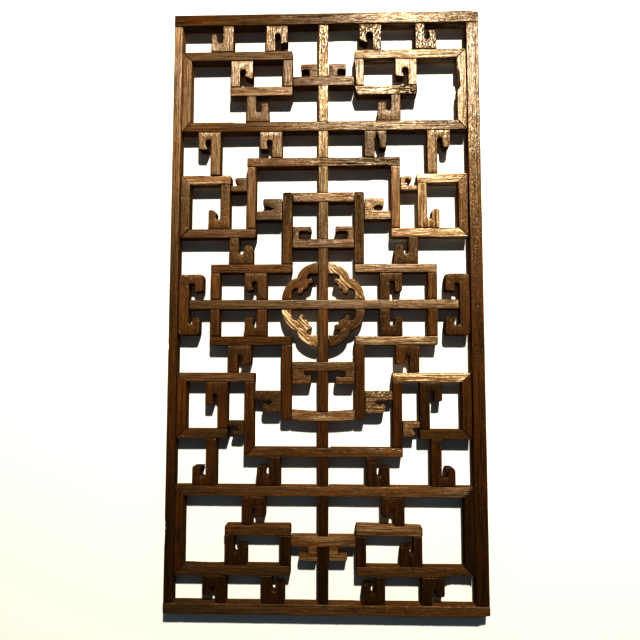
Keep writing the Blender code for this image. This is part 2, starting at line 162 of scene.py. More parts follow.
BRACKET = Hook(259.4, -1, slot=10.0, tip=15.0, thick=17.5, reach=31.0)
BRACKET_HALF = 55.0
BRACKET_ROUND = 5.0

# Squat hooks like a C: where it starts, its base, foot, stem beside a gap, and a cap with a curl at its
# end, the cap's rounding, and the length over which the gap narrows to a point
Lug = namedtuple("Lug", "start base foot stem gap cap cap_length curl cap_round narrow",
                 defaults=(2.2, 3.0, 0.0))
SIDE_STUB = Lug(138.8, 206.0, 9.0, 12.5, 9.5, 7.5, 21.5)
BRIDGE_HOOK = Lug(73.8, 153.0, 16.0, 17.0, 10.0, 13.5, 35.0)

# Radii of a foot's outer corner, of a cap's, and of the root of a squat hook's gap
FOOT_CORNER = 0.6
CAP_CORNER = 1.5
LUG_ROOT = 3.0

# Where the beak begins: at least this far above the slot's root, and this far below the beak's
# rounding, with this share of the beak's own height more
BEND_ABOVE = 0.6
BEND_BELOW = 2.4
BEAK_SWELL = 1.1

# The beak swells in steps: a share of its height, and how far that lies below its rounding
BEAK_STEPS = ((0.75, 1.4), (1.0, 0.3))

# Angles at which a tip's outer corner, a beak and a squat hook's cap have points
TIP_TURNS = (0, 22.5, 45, 67.5, 90)
BEAK_TURNS = (30, 60, 90)
LUG_TURNS = (60, 30, 0)

# How a curl's inner edge rounds off, from its end and its underside, how wide a curl is, and over what
# length its outer and its inner edge turn down
LUG_LIP = ((-2.6, 0.0), (-1.2, 0.3), (-0.4, 1.1), (0.0, 2.4))
CURL_WIDTH = 6.0
CURL_TURN = (0.5, 1.0)

# How open a narrowing gap is at its closed end
NARROW_FROM = 0.1

# A hollow corner has this many points between two of its turns
FAN_POINTS = 5

# What the carver did differently on single hooks; None is a hook like the others of its kind
HAND_CUT = by_quarter({
    "standing_hook": (
        dict(back=166.4, stem=19.7, slot=9.8, tip=12.4, thick=18.0, reach=34.6, beak=-0.6, outer_round=5.0,
             inner_round=4.0),
        dict(beak=2.2, outer_round=4.5),
        dict(stem=18.5, slot=7.0, tip=15.5, reach=33.0),
        dict(stem=18.5, slot=6.2, tip=15.2, reach=32.0)),
    "hanging_hook": (
        dict(reach=31.0, slope=-5.5, beak=0.0, root=3.0),
        dict(stem=16.2, slot=11.0, tip=13.2, reach=31.5, slope=-5.0, beak=2.8, inner_round=1.6, root=3.5),
        dict(slot=7.5, tip=14.6, thick=19.4),
        dict(slot=6.5, tip=15.0, outer_round=5.5)),
    "hooked_post": (
        dict(stem=17.3, slot=10.5, reach=37.0, slope=7.5, beak=2.4),
        dict(reach=34.5, beak=3.2, outer_round=5.5, inner_round=1.8),
        dict(slot=6.8, tip=16.0, thick=21.0, outer_round=4.5),
        dict(slot=6.2, tip=16.2, thick=21.0, outer_round=5.5)),
    "low_hook": (
        dict(slot=9.4, tip=13.0, beak=0.2, root=2.2, flare=1.0),
        dict(beak=1.2, outer_round=4.5, inner_round=3.0, flare=3.0),
        dict(slot=6.8, tip=15.4),
        dict(slot=7.2, tip=15.0)),
    "step_hook": (
        None,
        dict(slot=8.0, thick=14.0, peak=10.0, beak=-0.8, inner_round=2.5, outer_round=4.0),
        dict(slot=7.6, tip=15.0, flare=1.5),
        dict(slot=7.0, tip=15.4)),
    "side_hook": (
        dict(beak=3.4, outer_round=4.5, inner_round=1.8),
        dict(beak=-0.3, outer_round=6.0, inner_round=5.0),
        dict(beak=3.8, tip=15.0, outer_round=4.0),
        dict(slot=10.5, beak=5.2, tip=12.8, outer_round=8.0, inner_round=4.5)),
    "side_post": (
        dict(thick=17.5, slope=0.5, beak=0.8, reach=35.0, inner_round=6.5),
        dict(thick=17.0, slope=0.5, beak=0.8, reach=34.5, inner_round=6.0),
        dict(slot=9.0, tip=13.0, thick=21.0, reach=40.0, beak=0.8),
        dict(thick=15.6, beak=1.0)),
    "arm_high_hook": (
        dict(slot=7.6, tip=18.0, beak=-0.4, outer_round=7.5, inner_round=7.0),
        dict(beak=0.2, outer_round=6.5, inner_round=5.5, flare=2.5),
        dict(beak=2.6, outer_round=7.0, inner_round=2.5),
        dict(slope=2.5, beak=1.6)),
    "arm_low_hook": (
        dict(slope=1.5, beak=2.6, outer_round=6.5, inner_round=2.0),
        dict(slot=8.6, beak=-0.3, outer_round=5.0, root=2.0, reach=34.5),
        dict(slot=6.6, tip=15.6, outer_round=4.5, inner_round=2.0),
        dict(slot=8.0, tip=14.0, thick=18.8, beak=0.6)),
    "bracket": (
        dict(slot=10.8, slope=-1.5, beak=0.6, root=3.0),
        dict(slot=9.2, tip=16.0, beak=1.6),
        dict(slot=6.6, tip=13.2, thick=20.5, beak=0.0, root=1.5, outer_round=1.5),
        dict(slot=10.0, tip=14.8, beak=2.8, flare=2.0, inner_round=2.0)),
    "side_stub": (
        dict(foot=11.0, stem=15.5, gap=4.6, cap=10.4, cap_length=21.5, curl=0.0, narrow=3.0),
        dict(foot=9.5, stem=9.5, gap=11.0, cap=5.8, cap_length=20.5, curl=2.2),
        None,
        dict(foot=12.0, stem=18.0, gap=6.0, cap=9.0, cap_length=21.0, curl=0.0, narrow=3.0)),
    "bridge_hook": (
        dict(curl=1.0, narrow=14.0),
        dict(gap=10.5, cap=13.0, narrow=5.0),
        dict(gap=9.0, cap_length=33.0, cap_round=5.0, narrow=6.0),
        dict(gap=8.5, cap=14.5, cap_round=8.0, curl=1.6, narrow=5.0)),
})

# Bars that are set or cut askew: what is added to their first and their last station
ASKEW = {
    "small_bar_upper_right": ((0.0, 0.0, 5.0, 0.0), (0.0, 0.0, 0.0, 0.0)),
    "small_post_upper_right": ((0.0, 0.0, 4.0, 0.0), (0.0, 0.0, 0.0, 0.0)),
    "small_bar_lower_right": ((0.0, -1.2, 0.0, -2.0), (0.0, 0.0, 0.0, 1.0)),
}

# Hooks carved on the bridges: near and far side of the stem, the cap's end, its thickness, its top
Cap = namedtuple("Cap", "near far end thick top")
INNER_CAP = Cap(42.8, 55.2, 21.5, 9.5, 23.0)
OUTER_CAP = Cap(9.8, 26.3, 41.5, 11.0, 23.8)

# The lower inner bridge's two hooks, right (1) and left (-1), were cut stouter
CAPS_CUT = {
    ("inner_bridge_lower", 1): dict(near=38.5, thick=12.5),
    ("inner_bridge_lower", -1): dict(near=33.0, thick=15.0),
}

# How deep a cap's stem is rooted in the bridge
CAP_ROOTED = 3.0

# The curl at a cap's end: stations from the cap's far end, its top and its underside
CAP_CURL = ((-6.0, 0.0, -6.0, 0.0), (-4.5, 0.0, -4.5, -1.2), (-3.0, 0.0, -2.0, -1.5),
            (-0.9, -0.9, -0.7, -1.2), (0.0, -3.0, 0.0, 0.6))

# Ring, outside: two elliptic lobes in each quarter, with their centre, half axes and last angle
LOBE_CENTRE = 45.0
LOBE_WIDE = 47.0
LOBE_HIGH = 30.3
LOBE_END = 86.3

# Ring, inside: a straight edge and a round pocket, and how much wider the outside and the inside are
# upright than level
RING_INSIDE = 56.2
POCKET_X = 21.8
POCKET_RADIUS = 7.2
RING_STRETCH = (1.02, 0.975)

# Points on a lobe, on a pocket, and on each edge of half a band
LOBE_POINTS = 15
POCKET_POINTS = 6
BAND_POINTS = 22

# Cloud head inside the ring. Places are across the quarter's diagonal and along it: where its root
# is and how far that is sunk, its half width along its body, and a lobe and curls, which are round
# blobs given by their centre and their radius.
HEAD_ROOT = 60.0
ROOT_SUNK = 0.6
HEAD_BODY = ((60.0, 13.8), (54.4, 13.8), (52.0, 12.6), (49.5, 12.6), (47.0, 13.6), (43.6, 13.2))
HEAD_LOBE = (0.0, 47.8, 7.2)
HEAD_CURLS = ((12.6, 46.2, 5.2), (-12.6, 46.2, 5.2))
CURLS_CUT = {
    "ring_quarter_lower_left": ((12.4, 42.0, 3.6), (10.6, 46.0, 4.2), (-12.2, 47.0, 4.4)),
    "ring_quarter_upper_right": ((10.8, 45.4, 5.4), (-12.8, 46.4, 4.8)),
    "ring_quarter_lower_right": ((13.0, 46.8, 5.4), (-11.4, 45.8, 5.2)),
}

# A blob's first and last angle, and its number of chords
BLOB_TURNS = (14, 166)
BLOB_POINTS = 13

# How far the lower end rail has bowed down in its middle, and the points along an end rail
END_RAIL_BOW = 3.0
BOW_POINTS = 17

# Radius of the frame's worn edges, and of the bottom rail's knocked corner
FRAME_EASE = 1.3
RAIL_CORNER = 2.5

# Rounding of the corners at a bar's ends: outer edge's start and end, inner edge's start and end
FREE_END = (1.5, 0.0, 1.0, 0.0)
SMALL_BAR_ENDS = (0.0, 0.0, 3.0, 3.0)
INNER_BAR_ENDS = (0.0, 0.0, 2.0, 0.0)
INNER_POST_ENDS = (0.0, 3.0, 0.0, 0.5)
ARM_BAR_ENDS = (2.0, 2.5, 1.0, 1.0)
STEP_RAIL_ENDS = {"upper": (1.5, 1.5, 0.0, 0.0), "lower": (0.0, 1.5, 0.0, 0.0)}

# How far the centre rail's ends are worn, how far the centre post stands back from the bars' faces,
# and how far further boards of a piece lie inside it
WORN_END = 2.2
SET_BACK = 0.3
INSIDE = 0.4

# Longest and shortest way from one section of a board to the next, in millimetres
STEP = 3.0
MIN_STEP = 0.02

# How a board is worn, in millimetres: radius of its long corners and of its ends, how far its edges
# wander and over what length, how far its face falls towards the edges, and how wide a crack is
CORNER = 0.9
END_EASE = 0.9
EDGE_WANDER = 0.35
EDGE_WAVE = 28.0
FACE_FALL = 0.35
CRACK_WIDTH = 1.0

# A bite is ragged: the least share of its depth, and the share that noise of a length adds
BITE_LEAST = 0.65
BITE_RAGGED = 0.7
BITE_WAVE = 3.5

# Shares of a rounded end's radius at which it gets a station, and how near a lap's edge it gets one
ROUND_SHARES = (0.07, 0.3, 0.62, 1.0)
LAP_EDGE = 0.04
BITE_POINTS = 9

# The most that both edges together may wear away, as a share of the width, and the least width left
WORN_SHARE = 0.9
WORN_LEFT = 0.4

# Points of a section, as shares of the width across the front, of the depth down a side, of the width
# across the back; and the angles at which an eased corner has points
FRONT_POINTS = (0, 0.06, 0.16, 0.32, 0.5, 0.68, 0.84, 0.94, 1)
SIDE_POINTS = (0, 0.08, 0.3, 0.55, 0.8, 1)
BACK_POINTS = (1, 0.66, 0.33, 0)
CORNER_TURNS = (30, 60)

# Kinds of surface on a section, and their order round it
FRONT, EASED, SIDE, BACK = range(4)
ROUND_KINDS = (FRONT, EASED, SIDE, EASED, BACK, EASED, SIDE, EASED)

# How the radius of a corner changes along a board, as shares of it: the least, and what knocks and
# dents of a length add. A dent is only where its noise lies above a value. The last is the most that
# a radius may take of the board's width or depth.
LEAST_RADIUS = 0.65
KNOCK = (15.0, 0.8)
DENT = (6.0, 3.0)
DENT_FROM = 0.8
RADIUS_SHARE = 0.4
KNOCK_SEEDS = 3.1
DENT_SEEDS = 5.7

# Patterns that wear the surface: length along the grain, width across it, and depth, in millimetres
SWELL = (60.0, 17.0, 0.3)
RIDGE = (30.0, 2.8, 0.16)
PIT = (8.0, 3.4, 0.7)
PIT_FROM = 0.7

# A flake is ragged in patches of a length and a width, and fades out over a length; its sides fade
# over a twelfth of the board's width
FLAKE = (16.0, 3.6)
FLAKE_FADE = 6.0
FLAKE_SIDE = 12
FLAKE_STEEP = 3
FLAKE_FROM = 1.15

# A crack's depth changes over a length, and boards thinner than this are worn less
CRACK_WAVE = 9.0
CRACK_LEAST = 0.5
THIN_BELOW = 8.0

# How near an edge its front is rubbed, as a share of the width, and how much
RUBBED_WIDTH = 1 / 9
RUBBED = 0.55

# How near a board's ends it is darkened by dirt and painted shade, and how far dirt and painted shade darken
# its back
DIRT_AND_SHADE_LENGTH = 3.5
BACK_DIRT_AND_SHADE = 0.8

# Numbers that turn a cell's place, or a name, into a value that is the same in each run
CELL_WEIGHTS = (127.1, 311.7, 74.7)
CELL_SCALE = 43758.5453
SEED_COUNT = 997
SEED_STEP = 7.0

# How far apart the grain of two pieces can lie, in millimetres, and the cells whose values say so
GRAIN_SHIFT = (4000.0, 900.0, 900.0)
SHIFT_CELLS = ((1.0, 2.0, 3.0), (4.0, 5.0, 6.0), (7.0, 8.0, 9.0))
SHADE_CELL = (3.0, 1.0, 4.0)
SHADE_SEED = 2.3

# Damage that the old panel shows. A bite is (edge, place, half length, depth), a flake is (from, to,
# low side, high side, depth), a crack is (side, from, to, depth). Places are distances from the
# piece's start; edge 0 is the outer one and 1 the inner one; a side is a share of the width.
Damage = namedtuple("Damage", "bites flakes cracks", defaults=((), (), ()))
DAMAGE = {
    "top_rail": Damage(
        bites=((0, 556, 9, 1.6), (0, 470, 30, 0.8), (1, 318, 20, 0.6)),
        flakes=((500, 559, 0.1, 0.95, 0.9), (196, 236, 0.0, 0.3, 0.6)),
        cracks=((0.33, 440, 559, 1.1), (0.68, 486, 552, 0.9), (0.3, 180, 300, 0.8)),
    ),
    "bottom_rail": Damage(bites=((0, 556, 8, 2.4), (1, 352, 26, 0.6)), cracks=((0.45, 120, 260, 0.7),)),
    "left_stile": Damage(
        bites=((0, 130, 8, 2.4), (0, 441, 7, 1.0), (0, 120, 26, 0.8)),
        cracks=((0.45, 560, 980, 0.8), (0.6, 20, 300, 0.6)),
    ),
    "right_stile": Damage(
        bites=((0, 820, 20, 0.7),),
        cracks=((0.25, 650, 1020, 0.9), (0.5, 60, 420, 0.7)),
    ),
    "upper_cross_rail": Damage(
        bites=((0, 98, 18, 1.7), (0, 470, 12, 0.7)),
        cracks=((0.35, 370, 505, 1.1), (0.62, 330, 470, 0.9), (0.5, 60, 200, 0.6)),
    ),
    "lower_cross_rail": Damage(cracks=((0.4, 300, 420, 0.7), (0.6, 80, 180, 0.6))),
    "step_rail_upper": Damage(
        bites=((0, 180, 24, 1.2), (1, 240, 16, 1.0)),
        flakes=((112, 274, 0.05, 0.95, 0.9),),
        cracks=((0.3, 120, 270, 1.4), (0.55, 150, 272, 1.2), (0.78, 110, 235, 1.1)),
    ),
    "end_rail_upper": Damage(cracks=((0.45, 60, 106, 0.8),)),
    "end_rail_lower": Damage(bites=((1, 56, 14, 0.9),), flakes=((36, 74, 0.3, 0.9, 0.6),)),
    "outer_bridge_upper": Damage(cracks=((0.55, 62, 108, 0.9), (0.3, 70, 112, 0.7))),
    "corner_post_upper_right": Damage(
        bites=((1, 86, 22, 5.0), (1, 74, 7, 1.2)),
        flakes=((62, 112, 0.55, 1.0, 1.0),),
        cracks=((0.3, 10, 90, 0.7),),
    ),
    "small_bar_upper_right": Damage(
        bites=((1, 96, 14, 1.0),),
        flakes=((84, 114, 0.0, 1.0, 1.2),),
        cracks=((0.4, 66, 112, 1.0),),
    ),
    "side_outer_bar_upper_left": Damage(bites=((0, 30, 16, 1.2),), flakes=((14, 60, 0.1, 0.8, 0.8),)),
    "sub_rail_lower_right": Damage(bites=((0, 186, 32, 5.5), (0, 160, 12, 1.2))),
    "sub_rail_lower_left": Damage(bites=((1, 150, 30, 1.2),)),
    "ring_quarter_upper_right": Damage(cracks=((0.3, 8, 60, 1.0), (0.62, 30, 92, 1.1))),
    "ring_quarter_lower_left": Damage(cracks=((0.35, 10, 80, 0.8), (0.7, 16, 94, 0.8))),
    "inner_post_upper_left": Damage(flakes=((78, 128, 0.1, 0.9, 0.5),)),
    "inner_post_upper_right": Damage(cracks=((0.4, 20, 120, 0.8),)),
}

# How single pieces look against the others: how much paler or darker the stain is, how far it is
# faded to bare wood, how dull the varnish is, and how strongly the surface is mottled. Several values
# are spread evenly from the piece's start to its end: left to right, or up from the foot.
Look = namedtuple("Look", "shade faded dull mottle", defaults=(1.0, 0.0, 0.0, 0.25))
HOOK_LOOK = Look(mottle=0.6)
LOOKS = {
    "top_rail": Look(
        (0.75, 0.73, 0.58, 0.68, 0.3), faded=(0.04, 0.04, 0.02, 0.35, 0.3),
        dull=(1.35, 0.98, 0.7, 0.1, 0.25), mottle=(-9.0, 1.0)),
    "bottom_rail": Look((0.35, 0.62, 1.0, 1.17, 1.1), faded=0.03),
    "left_stile": Look(
        (0.65, 0.75, 0.8, 0.8, 0.8, 0.8, 1.1, 1.2, 1.15), faded=(-0.35, 0.28), dull=(0.0, 0.65)),
    "right_stile": Look(dull=(-1.4, 0.35)),
    "centre_post": Look(
        (0.5, 0.62, 0.78, 0.88, 1.15, 0.5, 0.3, 0.75, 0.85),
        faded=(0, 0, 0, 0.03, 0.1, 0.07, 0.42, 0.78, 0.9), dull=(0.1, -0.25), mottle=(-0.5, 0.9)),
    "centre_rail": Look((0.6, 0.95), faded=0.04, dull=(0.5, 0.0)),
    "upper_cross_rail": Look(
        (1.3, 0.95, 0.75, 0.65, 0.45), faded=(0.09, 0.06, 0.1, 0.16, 0.22),
        dull=(0.95, 0.8, 0.35, 0.1, 0.4)),
    "lower_cross_rail": Look((0.7, 0.85, 1.3, 1.5, 1.1), faded=(0.0, 0.1)),
    "step_rail_upper": Look((1.45, 0.75), dull=(0.45, 0.5)),
    "step_rail_lower": Look(1.15),
    "end_rail_upper": Look((1.4, 1.6), faded=(0.0, 0.1), dull=(0.3, 0.1)),
    "end_rail_lower": Look(1.1, faded=0.2),
    "inner_bridge_upper": Look(0.95, dull=0.25, mottle=0.4),
    "inner_bridge_lower": Look(0.85, dull=0.4),
    "outer_bridge_upper": Look(dull=(0.65, 0.15)),
    "outer_bridge_lower": Look(1.1, faded=0.13),
}
LOOKS.update(by_quarter({
    "corner_post": (Look(1.2, faded=0.15, dull=0.75), Look(0.95, faded=0.2), Look(1.45), Look(0.7)),
    "sub_rail": (Look(0.75, faded=0.06, dull=(0.7, 0.5)), Look(0.55, faded=0.5, dull=0.2), Look(0.7), None),
    "standing_hook": (Look(0.95, dull=0.2, mottle=0.5), Look(mottle=0.9), None, None),
    "hanging_hook": (None, Look(mottle=0.9), None, None),
    "small_bar": (
        Look(1.05, faded=0.16, dull=(0.15, 0.35)), Look(1.1, faded=0.06, mottle=(-4.0, 3.0)),
        None, Look(0.95, faded=0.2)),
    "small_post": (Look(1.1, dull=0.5, mottle=0.6), None, None, None),
    "hooked_post": (Look(1.1, dull=0.1, mottle=0.3), Look(1.2, faded=0.2, mottle=0.2), None, None),
    "low_hook": (
        Look(faded=0.05, dull=0.55, mottle=0.4), Look(0.95, faded=0.04, dull=0.4, mottle=0.5),
        None, None),
    "step_post": (Look(1.05, faded=0.06, dull=0.35), Look(1.8, faded=0.1), Look(1.12), None),
    "step_hook": (Look(1.1, faded=0.05, dull=0.2, mottle=0.4), Look(0.8, dull=0.4, mottle=0.4), None, None),
    "side_outer_bar": (
        Look(1.6, faded=0.4, mottle=0.5), Look(0.5, faded=0.95, dull=0.1, mottle=0.3),
        Look((0.4, 1.45)), Look(0.7, dull=0.9)),
    "side_inner_bar": (
        Look(faded=0.06, dull=0.5), Look(0.5, faded=1.0, dull=0.05, mottle=0.3),
        Look(1.1, faded=0.08, dull=0.8), Look(1.55, faded=1.0, mottle=0.6)),
    "side_post": (Look(dull=0.25), Look(1.05, faded=0.42, mottle=0.4), None, Look(0.5)),
    "side_hook": (Look(1.3, mottle=0.3), Look(1.1, faded=0.1, mottle=0.5), None, None),
    "side_stub": (
        Look(0.75, dull=0.5, mottle=0.3), Look(1.4, faded=0.5, mottle=0.3), Look(0.5, mottle=0.6),
        Look(0.9, faded=0.1, mottle=0.5)),
    "inner_post": (
        Look((1.1, 0.6), dull=(0.3, 0.9), mottle=(-0.3, 1.2)),
        Look(0.85, faded=0.08, dull=(0.6, 0.7), mottle=(0.6, 1.1)), Look(1.15), Look(1.12)),
    "bridge_hook": (
        Look(0.95, dull=0.4, mottle=0.3), Look(1.2, faded=0.2, mottle=0.5),
        Look(0.6, mottle=0.7), Look(0.9, faded=0.2, mottle=0.8)),
    "arm_bar": (
        Look(dull=0.65), Look(faded=0.14, dull=0.1, mottle=0.3), Look(0.9, dull=0.9),
        Look(0.95, faded=0.24)),
    "arm_post": (Look(1.85, faded=0.03), Look(1.3, faded=0.04), Look(1.15), Look(1.5, faded=0.02)),
    "ring_quarter": (
        Look(1.1, faded=0.07), Look(0.8, faded=0.6), Look(0.8, faded=0.85),
        Look(0.72, faded=0.03)),
}))

# How much darker the colour is made towards the panel's foot, on level and on upright pieces, and over what
# height
DARK_FOOT = {LEVEL: 0.25, UPRIGHT: 0.5}
FOOT_FROM = -150.0
FOOT_TO = -480.0

# How thin the varnish is worn on level bars towards the lower left, and where that begins
THIN_VARNISH = {LEVEL: 0.65, UPRIGHT: 0.15}
VARNISH_FROM = -100.0
VARNISH_TURN = 0.75
VARNISH_OVER = 150.0

# How much the stain differs between pieces by chance, and from which angle an edge is drawn sharp
SHADE_SPREAD = 0.15
SHARP_ANGLE = 48.0

# What a board keeps on its vertices: rubbed, flaked to bare wood, dirty with painted shade, and sawn across
# the grain, whose sides and back also get painted light
WEAR_AND_PAINTED_LIGHT_KINDS = ("worn", "raw", "joint_dirt_and_shade", "sawn_and_lit")
TINY = 1e-9


def cell_values(cells, seed):
    """A repeatable number from 0 to 1 for each whole-number cell: the rest of a large sine."""
    return np.modf(np.abs(np.sin(cells @ np.array(CELL_WEIGHTS) + seed) * CELL_SCALE))[0]


def noise(points, seed=0.0):
    """Smooth noise from 0 to 1: the values at a cell's eight corners, eased from one to the next."""
    cells = np.floor(points)
    inside = points - cells
    eased = inside * inside * (3 - 2 * inside)
    total = np.zeros(points.shape[:-1])
    for corner in np.ndindex(2, 2, 2):
        share = np.where(np.array(corner) == 1, eased, 1 - eased)
        total += np.prod(share, axis=-1) * cell_values(cells + corner, seed)
    return total


def line_noise(places, spacing, seed):
    """Noise along a line, one wave in about two spacings."""
    points = np.stack([places / spacing, np.full_like(places, 0.5), np.full_like(places, 0.5)], axis=-1)
    return noise(points, seed)


def seed_of(name):
    """A number that belongs to a name, the same in each run."""
    return sum((place + 1) * ord(letter) for place, letter in enumerate(name)) % SEED_COUNT / SEED_STEP


def edges(line):
    """Inner and outer edge of a line given as outer edge and width."""
    outer, width = line
    return outer - width, outer


def frame_edge(side):
    """Distance from the lattice's centre to the frame's rail, above (1) or below (-1)."""
    rail = TOP_RAIL if side > 0 else BOTTOM_RAIL
    return PANEL_HEIGHT / 2 - rail - side * LATTICE_Z


def level_bar(start, end, line, slants=(0.0, 0.0)):
    """Stations of a level bar, outer edge first. A slant draws the inner edge out past the end."""
    low, high = edges(line)
    return [(start, high, start + slants[0], low), (end, high, end + slants[1], low)]


def upright_bar(start, end, line, slants=(0.0, 0.0)):
    """Stations of an upright bar, outer edge first. A slant draws the inner edge out past the end."""
    low, high = edges(line)
    return [(high, start, low, start + slants[0]), (high, end, low, end + slants[1])]


def fan(centre, radius, start, end, box, corner=0.0):
    """Stations round a hollow corner, angles in degrees.

    The inner edge is a circle round the centre. The outer edge is where the ray from the centre
    meets the sides of a box (low x, low z, high x, high z), its corners rounded.
    """
    low = np.array(box[:2], float)
    high = np.array(box[2:], float)
    centre = np.array(centre, float)
    corners = [(x, z) for x in (low[0], high[0]) for z in (low[1], high[1]) if np.isfinite([x, z]).all()]
    first, last = sorted((start, end))
    turns = {float(start), float(end)}
    for x, z in corners:
        angle = math.degrees(math.atan2(z - centre[1], x - centre[0])) % 360
        if first < angle < last:
            turns.add(angle)
    stops = sorted(turns, reverse=end < start)
    spread = [np.linspace(a, b, FAN_POINTS)[:-1] for a, b in zip(stops, stops[1:])]
    angles = np.radians(np.concatenate(spread + [[stops[-1]]]))
    rays = np.stack([np.cos(angles), np.sin(angles)], axis=-1)
    with np.errstate(divide="ignore", invalid="ignore"):
        reach = np.where(rays > 0, high - centre, low - centre) / np.where(np.abs(rays) < TINY, TINY, rays)
    outer = centre + rays * np.min(np.abs(reach), axis=-1, keepdims=True)
    if corner:
        for x, z in corners:
            inward = np.array([1 if x == low[0] else -1, 1 if z == low[1] else -1])
            middle = np.array([x, z]) + inward * corner
            away = outer - middle
            near = np.all(away * inward < 0, axis=-1)
            length = np.maximum(np.linalg.norm(away, axis=-1, keepdims=True), TINY)
            outer = np.where(near[:, None], middle + away / length * corner, outer)
    return np.hstack([outer, centre + radius * rays]).tolist()


def quarter_round(x, z, radius, angles, side=1):
    """Points of a corner at x, z, each drawn in by what a circle of the radius leaves out.

    Angles are in degrees from level; side is 1 where the corner lies on the right.
    """
    turns = np.radians(angles)
    return np.stack([x - side * radius * (1 - np.cos(turns)), z - radius * (1 - np.sin(turns))], axis=-1)


def hook_stations(hook, low, end, corner=FOOT_CORNER):
    """Stations of a hook like a J: down the stem, round the slot's root, up the tip to its beak.

    Across is from the stem's back and up is from the foot. The root's two corners are quarter
    rounds, and the tip's end has a rounded corner on each side; the inner one is the beak.
    """
    inner = hook.stem + hook.slot
    wide = inner + hook.tip
    root = min(hook.root, hook.slot / 2)
    floor = hook.thick + root
    cut = hook.reach - hook.slope
    stations = [(0, end, hook.stem, end)]
    stations += fan((hook.stem + root, floor), root, 180, 270, (0, low, np.inf, np.inf), corner)
    stations += fan((inner - root, floor), root, 270, 360, (-np.inf, low, wide, np.inf), corner)
    rounding = cut - hook.inner_round
    bend = max(floor + BEND_ABOVE, rounding - BEND_BELOW - BEAK_SWELL * max(hook.beak, 0))
    stations.append((wide, bend, inner, bend))
    outer = quarter_round(wide, hook.reach, hook.outer_round, TIP_TURNS)
    beak = [(inner - share * hook.beak, rounding - down) for share, down in BEAK_STEPS]
    beak += quarter_round(inner - hook.beak, cut, hook.inner_round, BEAK_TURNS, -1).tolist()
    stations = np.array(stations + np.hstack([outer, beak]).tolist())
    share = np.clip((stations[:, 0] - inner) / hook.tip, 0, 1)
    stations[:, 0] += hook.flare * share * np.clip(1 - stations[:, 1] / hook.reach, 0, 1)
    aside = np.abs(stations[:, 2] - (hook.stem + inner) / 2) / (hook.slot / 2)
    in_root = np.clip(1 - aside, 0, 1) ** 2 * (stations[:, 3] < floor)
    stations[:, 3] -= hook.peak * in_root
    return stations.tolist()


def set_stations(stations, back, towards, foot, up):
    """Place stations: the stem's back, the way to the tip, the foot and the way up."""
    scale = np.array([towards, up, towards, up])
    return (np.array([back, foot, back, foot]) + scale * np.array(stations)).tolist()


def set_hook(hook, foot, up, end):
    """Stations of a hook in its place, its stem's end at a height."""
    return set_stations(hook_stations(hook, FIT / 2, end - FIT / 2), hook.back, hook.towards, foot, up)


def lug_stations(lug, length):
    """Stations of a squat hook: along its foot, up its stem, out along its cap to the curl."""
    low = lug.foot + lug.gap
    high = low + lug.cap
    last = lug.cap_length
    turn = last - max(CURL_WIDTH, lug.cap_round + 1)
    tip = low - lug.curl
    root = lug.stem + LUG_ROOT
    stations = [(length, 0, length, lug.foot)]
    stations += fan((root, lug.foot + LUG_ROOT), LUG_ROOT, 270, 180, (0, 0, np.inf, np.inf), FOOT_CORNER)
    stations += fan((root, low - LUG_ROOT), LUG_ROOT, 180, 90, (0, -np.inf, np.inf, high), CAP_CORNER)
    stations += [(turn, high, turn, low), (turn + CURL_TURN[0], high, turn + CURL_TURN[1], tip)]
    lip = np.array(LUG_LIP) + (last, tip)
    stations += [(last - lug.cap_round, high, *lip[0])]
    stations += np.hstack([quarter_round(last, high, lug.cap_round, LUG_TURNS), lip[1:]]).tolist()
    stations = np.array(stations)
    middle = lug.foot + lug.gap / 2
    if lug.narrow:
        open_here = np.clip((stations[:, 2] - lug.stem) / lug.narrow + NARROW_FROM, 0, 1)
        stations[:, 3] = middle + (stations[:, 3] - middle) * open_here
    return set_stations(stations, lug.start, 1, lug.base, 1)


def cap_stations(line, cap):
    """Stations of a hook carved on a bridge: up its stem from inside the bar, out along its cap."""
    way = 1 if cap.end > cap.far else -1
    back, front = (cap.near, cap.far) if way > 0 else (cap.far, cap.near)
    stem = abs(front - back)
    length = abs(cap.end - back)
    low = cap.top - cap.thick
    centre = (stem + LUG_ROOT, low - LUG_ROOT)
    stations = [(0, -CAP_ROOTED, stem, -CAP_ROOTED)]
    stations += fan(centre, LUG_ROOT, 180, 90, (0, -np.inf, np.inf, cap.top), CAP_CORNER)
    stations += (np.array(CAP_CURL) + (length, cap.top, length, low)).tolist()
    return set_stations(stations, back, way, edges(line)[1], 1)


def spaced(line, count):
    """A line's points spread anew, evenly by their number."""
    places = np.linspace(0, len(line) - 1, count)
    return np.stack([np.interp(places, np.arange(len(line)), column) for column in line.T], axis=-1)


def ring_band_stations():
    """Stations of a ring quarter's band, from the centre post round to the centre rail.

    Outside are two elliptic lobes that meet in a notch on the diagonal. Inside, a straight edge
    ends in a round pocket, then the edge runs behind the head, and the second half is the first
    one with its two coordinates changed over. The ring is a little taller than wide.
    """
    start = CENTRE_POST / 2 + FIT
    turns = np.linspace(math.asin(start / LOBE_WIDE), math.radians(LOBE_END), LOBE_POINTS)
    outside = np.stack([LOBE_WIDE * np.sin(turns), LOBE_CENTRE + LOBE_HIGH * np.cos(turns)], axis=-1)
    arc = np.radians(np.linspace(90, 0, POCKET_POINTS))
    pocket = RING_INSIDE - POCKET_RADIUS
    curve = np.stack([POCKET_X + POCKET_RADIUS * np.cos(arc), pocket + POCKET_RADIUS * np.sin(arc)], axis=-1)
    inside = np.vstack([[start, RING_INSIDE], curve, [HEAD_ROOT / math.sqrt(2) - ROOT_SUNK] * 2])
    half = np.hstack([spaced(outside, BAND_POINTS), spaced(inside, BAND_POINTS)])
    other = half[::-1][:, [1, 0, 3, 2]]
    outside, inside = RING_STRETCH
    return (np.vstack([half, other[1:]]) * (1, outside, 1, inside)).tolist()


